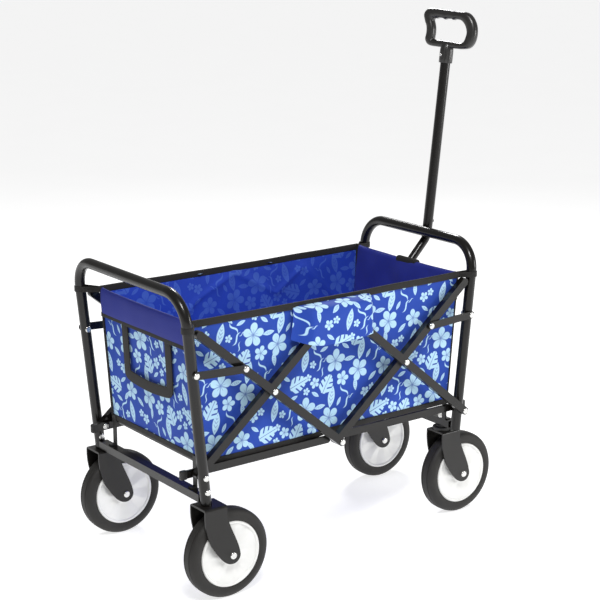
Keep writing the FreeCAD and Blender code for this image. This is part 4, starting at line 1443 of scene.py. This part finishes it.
@dataclass
class PullHandle:
    """D grip with its collar and screw, at the top of the pull handle's shaft (mm)."""

    bench: Workbench
    # The shaft starts at its upper bend and leans forward by slope; "along" is counted from there
    high_bend: Point = (400.0, 0.0, 602.0)
    slope: float = 0.1175
    grip_turn: float = -70.0
    collar_start: float = 390.0
    collar_end: float = 424.0
    collar_ribs: int = 12
    rib_depth: float = 0.9
    screw_along: float = 407.0
    screw_turn: float = -118.0
    finger_bumps: float = 6.0
    finger_depth: float = 2.2
    finger_run: Place = (-36.0, 26.0)
    # Below 1, a section's corners are fuller than a circle's
    fullness: float = 0.72

    def on_shaft(self, across: float, thick: float, along: float) -> Point:
        """Work out where a point of the grip lies.

        Args:
            across: Distance from the shaft in the ring's plane.
            thick: Distance from the ring's plane.
            along: Distance up the shaft.

        Returns:
            The point.
        """
        turn = math.radians(self.grip_turn)
        x = across * math.cos(turn) - thick * math.sin(turn)
        y = across * math.sin(turn) + thick * math.cos(turn)
        tilt = math.atan(self.slope)
        return (self.high_bend[0] + x * math.cos(tilt) + along * math.sin(tilt),
                y, self.high_bend[2] - x * math.sin(tilt) + along * math.cos(tilt))

    def full(self, value: float) -> float:
        """Return a sine or cosine changed for the fuller section."""
        return math.copysign(abs(value) ** self.fullness, value)

    def grip(self) -> bpy.types.Object:
        """Build the D ring from its outer and inner outlines, with finger bumps.

        Returns:
            The ring.
        """
        outer = [(-44, 1), (-20, -1), (10, -1), (38, -1), (56, 3), (66, 15), (69.5, 34),
                 (66, 54), (56, 70), (42, 79), (20, 80), (-10, 81), (-40, 82), (-56, 79),
                 (-63.5, 68), (-60, 54), (-54.5, 42), (-53, 28), (-54, 12)]
        inner = [(-34, 15), (-20, 14.6), (8, 13.6), (30, 12.6), (40, 15), (44.5, 25), (46, 36),
                 (43, 46), (37, 55), (28, 61), (14, 62), (-8, 61.5), (-24, 62), (-34, 61.5),
                 (-39, 56), (-36, 46), (-34, 38), (-33.5, 28), (-34, 20)]
        rim, hole = (smooth_path([(a, 0.0, b) for a, b in outline], 8, closed=True)
                     for outline in (outer, inner))
        start, end = self.finger_run
        rows = []
        for (ao, _, bo), (ai, _, bi) in zip(rim, hole):
            if bi > 50 and start < ai < end:
                wave = math.sin((ai - start) / (end - start) * math.pi * self.finger_bumps)
                bi -= self.finger_depth * max(0.0, wave) ** 1.5
            thick = 9.4 + 0.16 * min(math.hypot(ao - ai, bo - bi) / 2, 12.0)
            row = []
            for angle in round_angles(20):
                share = (1 + self.full(math.cos(angle))) / 2
                row.append(self.on_shaft(lerp(ai, ao, share), thick * self.full(math.sin(angle)),
                                         self.collar_end + lerp(bi, bo, share)))
            rows.append(row)
        shape = Shape()
        shape.loop(rows)
        return self.bench.piece("d_grip", shape, GRIP_ABS)

    def collar(self) -> bpy.types.Object:
        """Build the ribbed socket below the ring, open where the shaft enters.

        Returns:
            The socket.
        """
        rows = []
        for step, radius in ((0.0, 11.4), (0.0, 14.0), (1.0, 14.8), (10.0, 14.9), (22.0, 14.9),
                             (30.0, 14.6), (38.0, 13.0), (42.0, 11.0)):
            ribbed = 0.0 < step < self.collar_end - self.collar_start and radius > 14
            row = []
            for angle in round_angles(96):
                crest = 0.5 + 0.5 * math.cos(angle * self.collar_ribs)
                here = radius - (self.rib_depth * (1.0 - crest ** 0.5) if ribbed else 0.0)
                row.append(self.on_shaft(here * math.cos(angle), here * math.sin(angle),
                                         self.collar_start + step))
            rows.append(row)
        shape = Shape()
        shape.cap(shape.grid(rows, around=True)[-1])
        return self.bench.piece("grip_collar", shape, GRIP_ABS)

    def screw(self) -> bpy.types.Object:
        """Build the pan-head screw that pins the collar.

        Returns:
            The screw's head.
        """
        turn = math.radians(self.screw_turn)
        out = Vector((math.cos(turn), math.sin(turn), 0))
        side = Vector((-out.y, out.x, 0))
        rows = []
        for depth, radius in ((13.6, 3.4), (15.2, 3.4), (16.2, 2.9), (16.8, 1.8), (16.2, 0.9),
                              (15.8, 0.5)):
            row = []
            for angle in round_angles(24):
                spot = out * depth + side * (radius * math.cos(angle))
                row.append(self.on_shaft(spot.x, spot.y,
                                         self.screw_along + radius * math.sin(angle)))
            rows.append(row)
        shape = Shape()
        shape.solid(rows)
        return self.bench.piece("grip_screw", shape, ZINC)

    def build(self) -> None:
        """Build the grip's pieces on the upper tube's body."""
        for piece, slot in ((self.grip(), "black_plastic"), (self.collar(), "black_plastic"),
                            (self.screw(), "bright_rivet")):
            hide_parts("handle_grip")
            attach(piece, "handle_upper")


# ------------------------------------------------------------------ linkage trim

@dataclass
class LinkageTrim:
    """Plugs in the open ends of the bottom rails, and bright heads on the links' studs (mm)."""

    bench: Workbench
    plug_size: Point = (15.0, 8.4, 19.0)
    plug_corner: float = 1.6
    plug_x: float = 366.0
    plug_z: float = 259.0
    rear_plug_y: float = 173.5
    front_plug_y: float = 167.5
    stud_x: float = 247.0
    stud_z: float = 463.9
    rear_stud_face: float = 220.0
    front_stud_face: float = 197.5

    def plug(self, name: str, middle: Point) -> bpy.types.Object:
        """Build a softly rounded plug whose length lies along X.

        Args:
            name: Piece's name.
            middle: Middle of the plug.

        Returns:
            The plug.
        """
        length, width, height = self.plug_size
        rows = []
        for along, shrink in ((-0.5, 0.55), (-0.46, 0.86), (-0.36, 1.0), (0.36, 1.0),
                              (0.46, 0.9), (0.5, 0.7)):
            section = rounded_section(width * shrink, height * shrink, self.plug_corner * shrink)
            rows.append([(middle[0] + along * length, middle[1] + a, middle[2] + b)
                         for a, b in section])
        shape = Shape()
        shape.solid(rows)
        return self.bench.piece(name, shape, CAP_PP)

    def rivet(self, name: str, x: float, face: float, side: int) -> bpy.types.Object:
        """Build a domed rivet head over a stud.

        Args:
            name: Piece's name.
            x: Stud's place along X.
            face: Distance across of the face that it stands on.
            side: NEAR or FAR.

        Returns:
            The head.
        """
        rows = [[(x + radius * math.cos(angle), side * (face + lift),
                  self.stud_z + radius * math.sin(angle)) for angle in round_angles(24)]
                for lift, radius in ((-0.4, 6.7), (1.2, 6.7), (2.2, 6.0), (2.9, 4.2), (3.1, 2.2))]
        shape = Shape()
        shape.solid(rows, flip=side == FAR)
        return self.bench.piece(name, shape, ZINC)

    def build(self) -> None:
        """Build the studs' heads and the plugs that stick out past the posts."""
        for side, label in SIDES:
            for end, place in ENDS:
                face = self.rear_stud_face if end == REAR else self.front_stud_face
                head = self.rivet(f"{place}_link_rivet_{label}", end * self.stud_x, face, side)
                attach(head, f"{place}_link_{label}")
            for end, place in ENDS:
                across = self.rear_plug_y if end == REAR else self.front_plug_y
                plug = self.plug(f"{place}_rail_plug_{label}",
                                 (end * self.plug_x, side * across, self.plug_z))
                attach(plug, place + "_bottom_rails")


# ------------------------------------------------------------------ carried-over metal

@dataclass
class Metalwork:
    """Dresses the CAD nodes whose shape already is the real one."""

    finishes: Dict[str, Finish] = field(default_factory=lambda: {
        "black_steel": POWDER_COAT, "bright_rivet": ZINC, "stamped_fork": FORK_ENAMEL,
        "handle_steel": HANDLE_ENAMEL, "black_plastic": CAP_PP, "white_hub": HUB_PP,
        "black_tyre": RUBBER, "floral_fabric": PLAIN, "blue_lining": PLAIN,
        "black_webbing": TAPE})

    def build(self, frame: dict) -> None:
        """Give every node the finish of its material slot.
        """
        slots = {part["node"]: part["material_slot"] for part in frame["record"]["subparts"]}
        for name, node in frame["nodes"].items():
            finish = self.finishes[slots[name]]
            node.data.materials.clear()
            node.data.materials.append(finish.material())
            LOG.info("dressed %s as %s", name, finish.title)


# ------------------------------------------------------------------ studio

@dataclass
class Studio:
    """Pale floor, soft lights and the camera (metres)."""

    # The camera's X is counted from the tub's middle
    camera_at: Point = (-1.919, -2.639, 1.360)
    yaw: float = 36.67
    pitch: float = -14.47
    lens: float = 95.5
    sensor: float = 36.0
    furthest: float = 60.0
    # Name, place, side of the square and watts
    lamps: Tuple[Tuple[str, Point, float, float], ...] = (
        ("key_light", (-1.2, -1.8, 2.9), 0.8, 62.0), ("rim_light", (1.6, 1.8, 2.4), 0.6, 46.0),
        ("fill_light", (2.2, -2.2, 1.0), 0.8, 22.0))
    lamps_aim: Point = (0.0, 0.0, 0.45)
    sky_strength: float = 0.27
    floor_rings: int = 12
    floor_steps: int = 48

    def floor(self) -> None:
        """Build the floor: a broad disc of rings, wider the further out they lie."""
        around = self.floor_steps
        points, faces = [(0.0, 0.0, 0.0)], []
        for ring in range(1, self.floor_rings + 1):
            radius = 0.12 * ring ** 2.4
            points.extend((radius * math.cos(angle), radius * math.sin(angle), 0.0)
                          for angle in round_angles(around))
        for k in range(around):
            faces.append((0, 1 + k, 1 + (k + 1) % around))
            for ring in range(self.floor_rings - 1):
                a, b = 1 + ring * around + k, 1 + ring * around + (k + 1) % around
                faces.append((a, a + around, b + around, b))
        mesh = bpy.data.meshes.new("studio_floor")
        mesh.from_pydata(points, [], faces)
        mesh.materials.append(FLOOR_PAINT.material())
        made = bpy.data.objects.new("studio_floor", mesh)
        bpy.context.scene.collection.objects.link(made)

    def lamp(self, name: str, at: Point, size: float, watts: float) -> None:
        """Hang a square soft light that faces the cart.

        Args:
            name: Lamp's name.
            at: Its place.
            size: Side of the square.
            watts: Its power.
        """
        data = bpy.data.lights.new(name, "AREA")
        data.energy = watts
        data.size = size
        lamp = bpy.data.objects.new(name, data)
        lamp.location = at
        aim = Vector(self.lamps_aim) - Vector(at)
        lamp.rotation_euler = aim.to_track_quat("-Z", "Y").to_euler()
        bpy.context.scene.collection.objects.link(lamp)

    def sky(self) -> None:
        """Set an even white surround."""
        world = bpy.data.worlds.new("studio_white")
        world.use_nodes = True
        world.node_tree.nodes.clear()
        light = add_node(world.node_tree, "ShaderNodeBackground", {
            "Color": WHITE, "Strength": self.sky_strength})
        add_node(world.node_tree, "ShaderNodeOutputWorld", {"Surface": light.outputs[0]})
        bpy.context.scene.world = world

    def camera(self, middle: float) -> None:
        """Set the camera at the cart's usual three-quarter view.

        Args:
            middle: X of the tub's middle.
        """
        data = bpy.data.cameras.new("camera")
        data.lens = self.lens
        data.sensor_width = self.sensor
        data.clip_end = self.furthest
        camera = bpy.data.objects.new("camera", data)
        camera.location = (self.camera_at[0] + middle, self.camera_at[1], self.camera_at[2])
        camera.rotation_euler = (math.radians(90 + self.pitch), 0.0, math.radians(-self.yaw))
        bpy.context.scene.collection.objects.link(camera)
        bpy.context.scene.camera = camera

    def build(self, middle: float) -> None:
        """Build the floor, lights, surround and camera.

        Args:
            middle: X of the tub's middle.
        """
        self.floor()
        for name, at, size, watts in self.lamps:
            self.lamp(name, at, size, watts)
        self.sky()
        self.camera(middle)
        bpy.context.scene.view_settings.view_transform = "Standard"


def main() -> None:
    """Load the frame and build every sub-assembly."""
    logging.basicConfig(level=logging.INFO, format="%(name)s: %(message)s")
    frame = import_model()
    low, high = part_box("base_pad")
    bench = Workbench(middle=(low.x + high.x) / 2)
    Studio().build(bench.middle)
    Metalwork().build(frame)
    FabricTub(bench).build()
    for _, end in ENDS:
        for _, label in SIDES:
            Wheel(bench, f"{end}_{label}").build(
                f"{end}_wheel_{label}", f"{end}_tyre_{label}", f"{end}_hub_{label}")
    PullHandle(bench).build()
    LinkageTrim(bench).build()
    LOG.info("made %d pieces", len(bench.made))


if __name__ == "__main__":
    main()
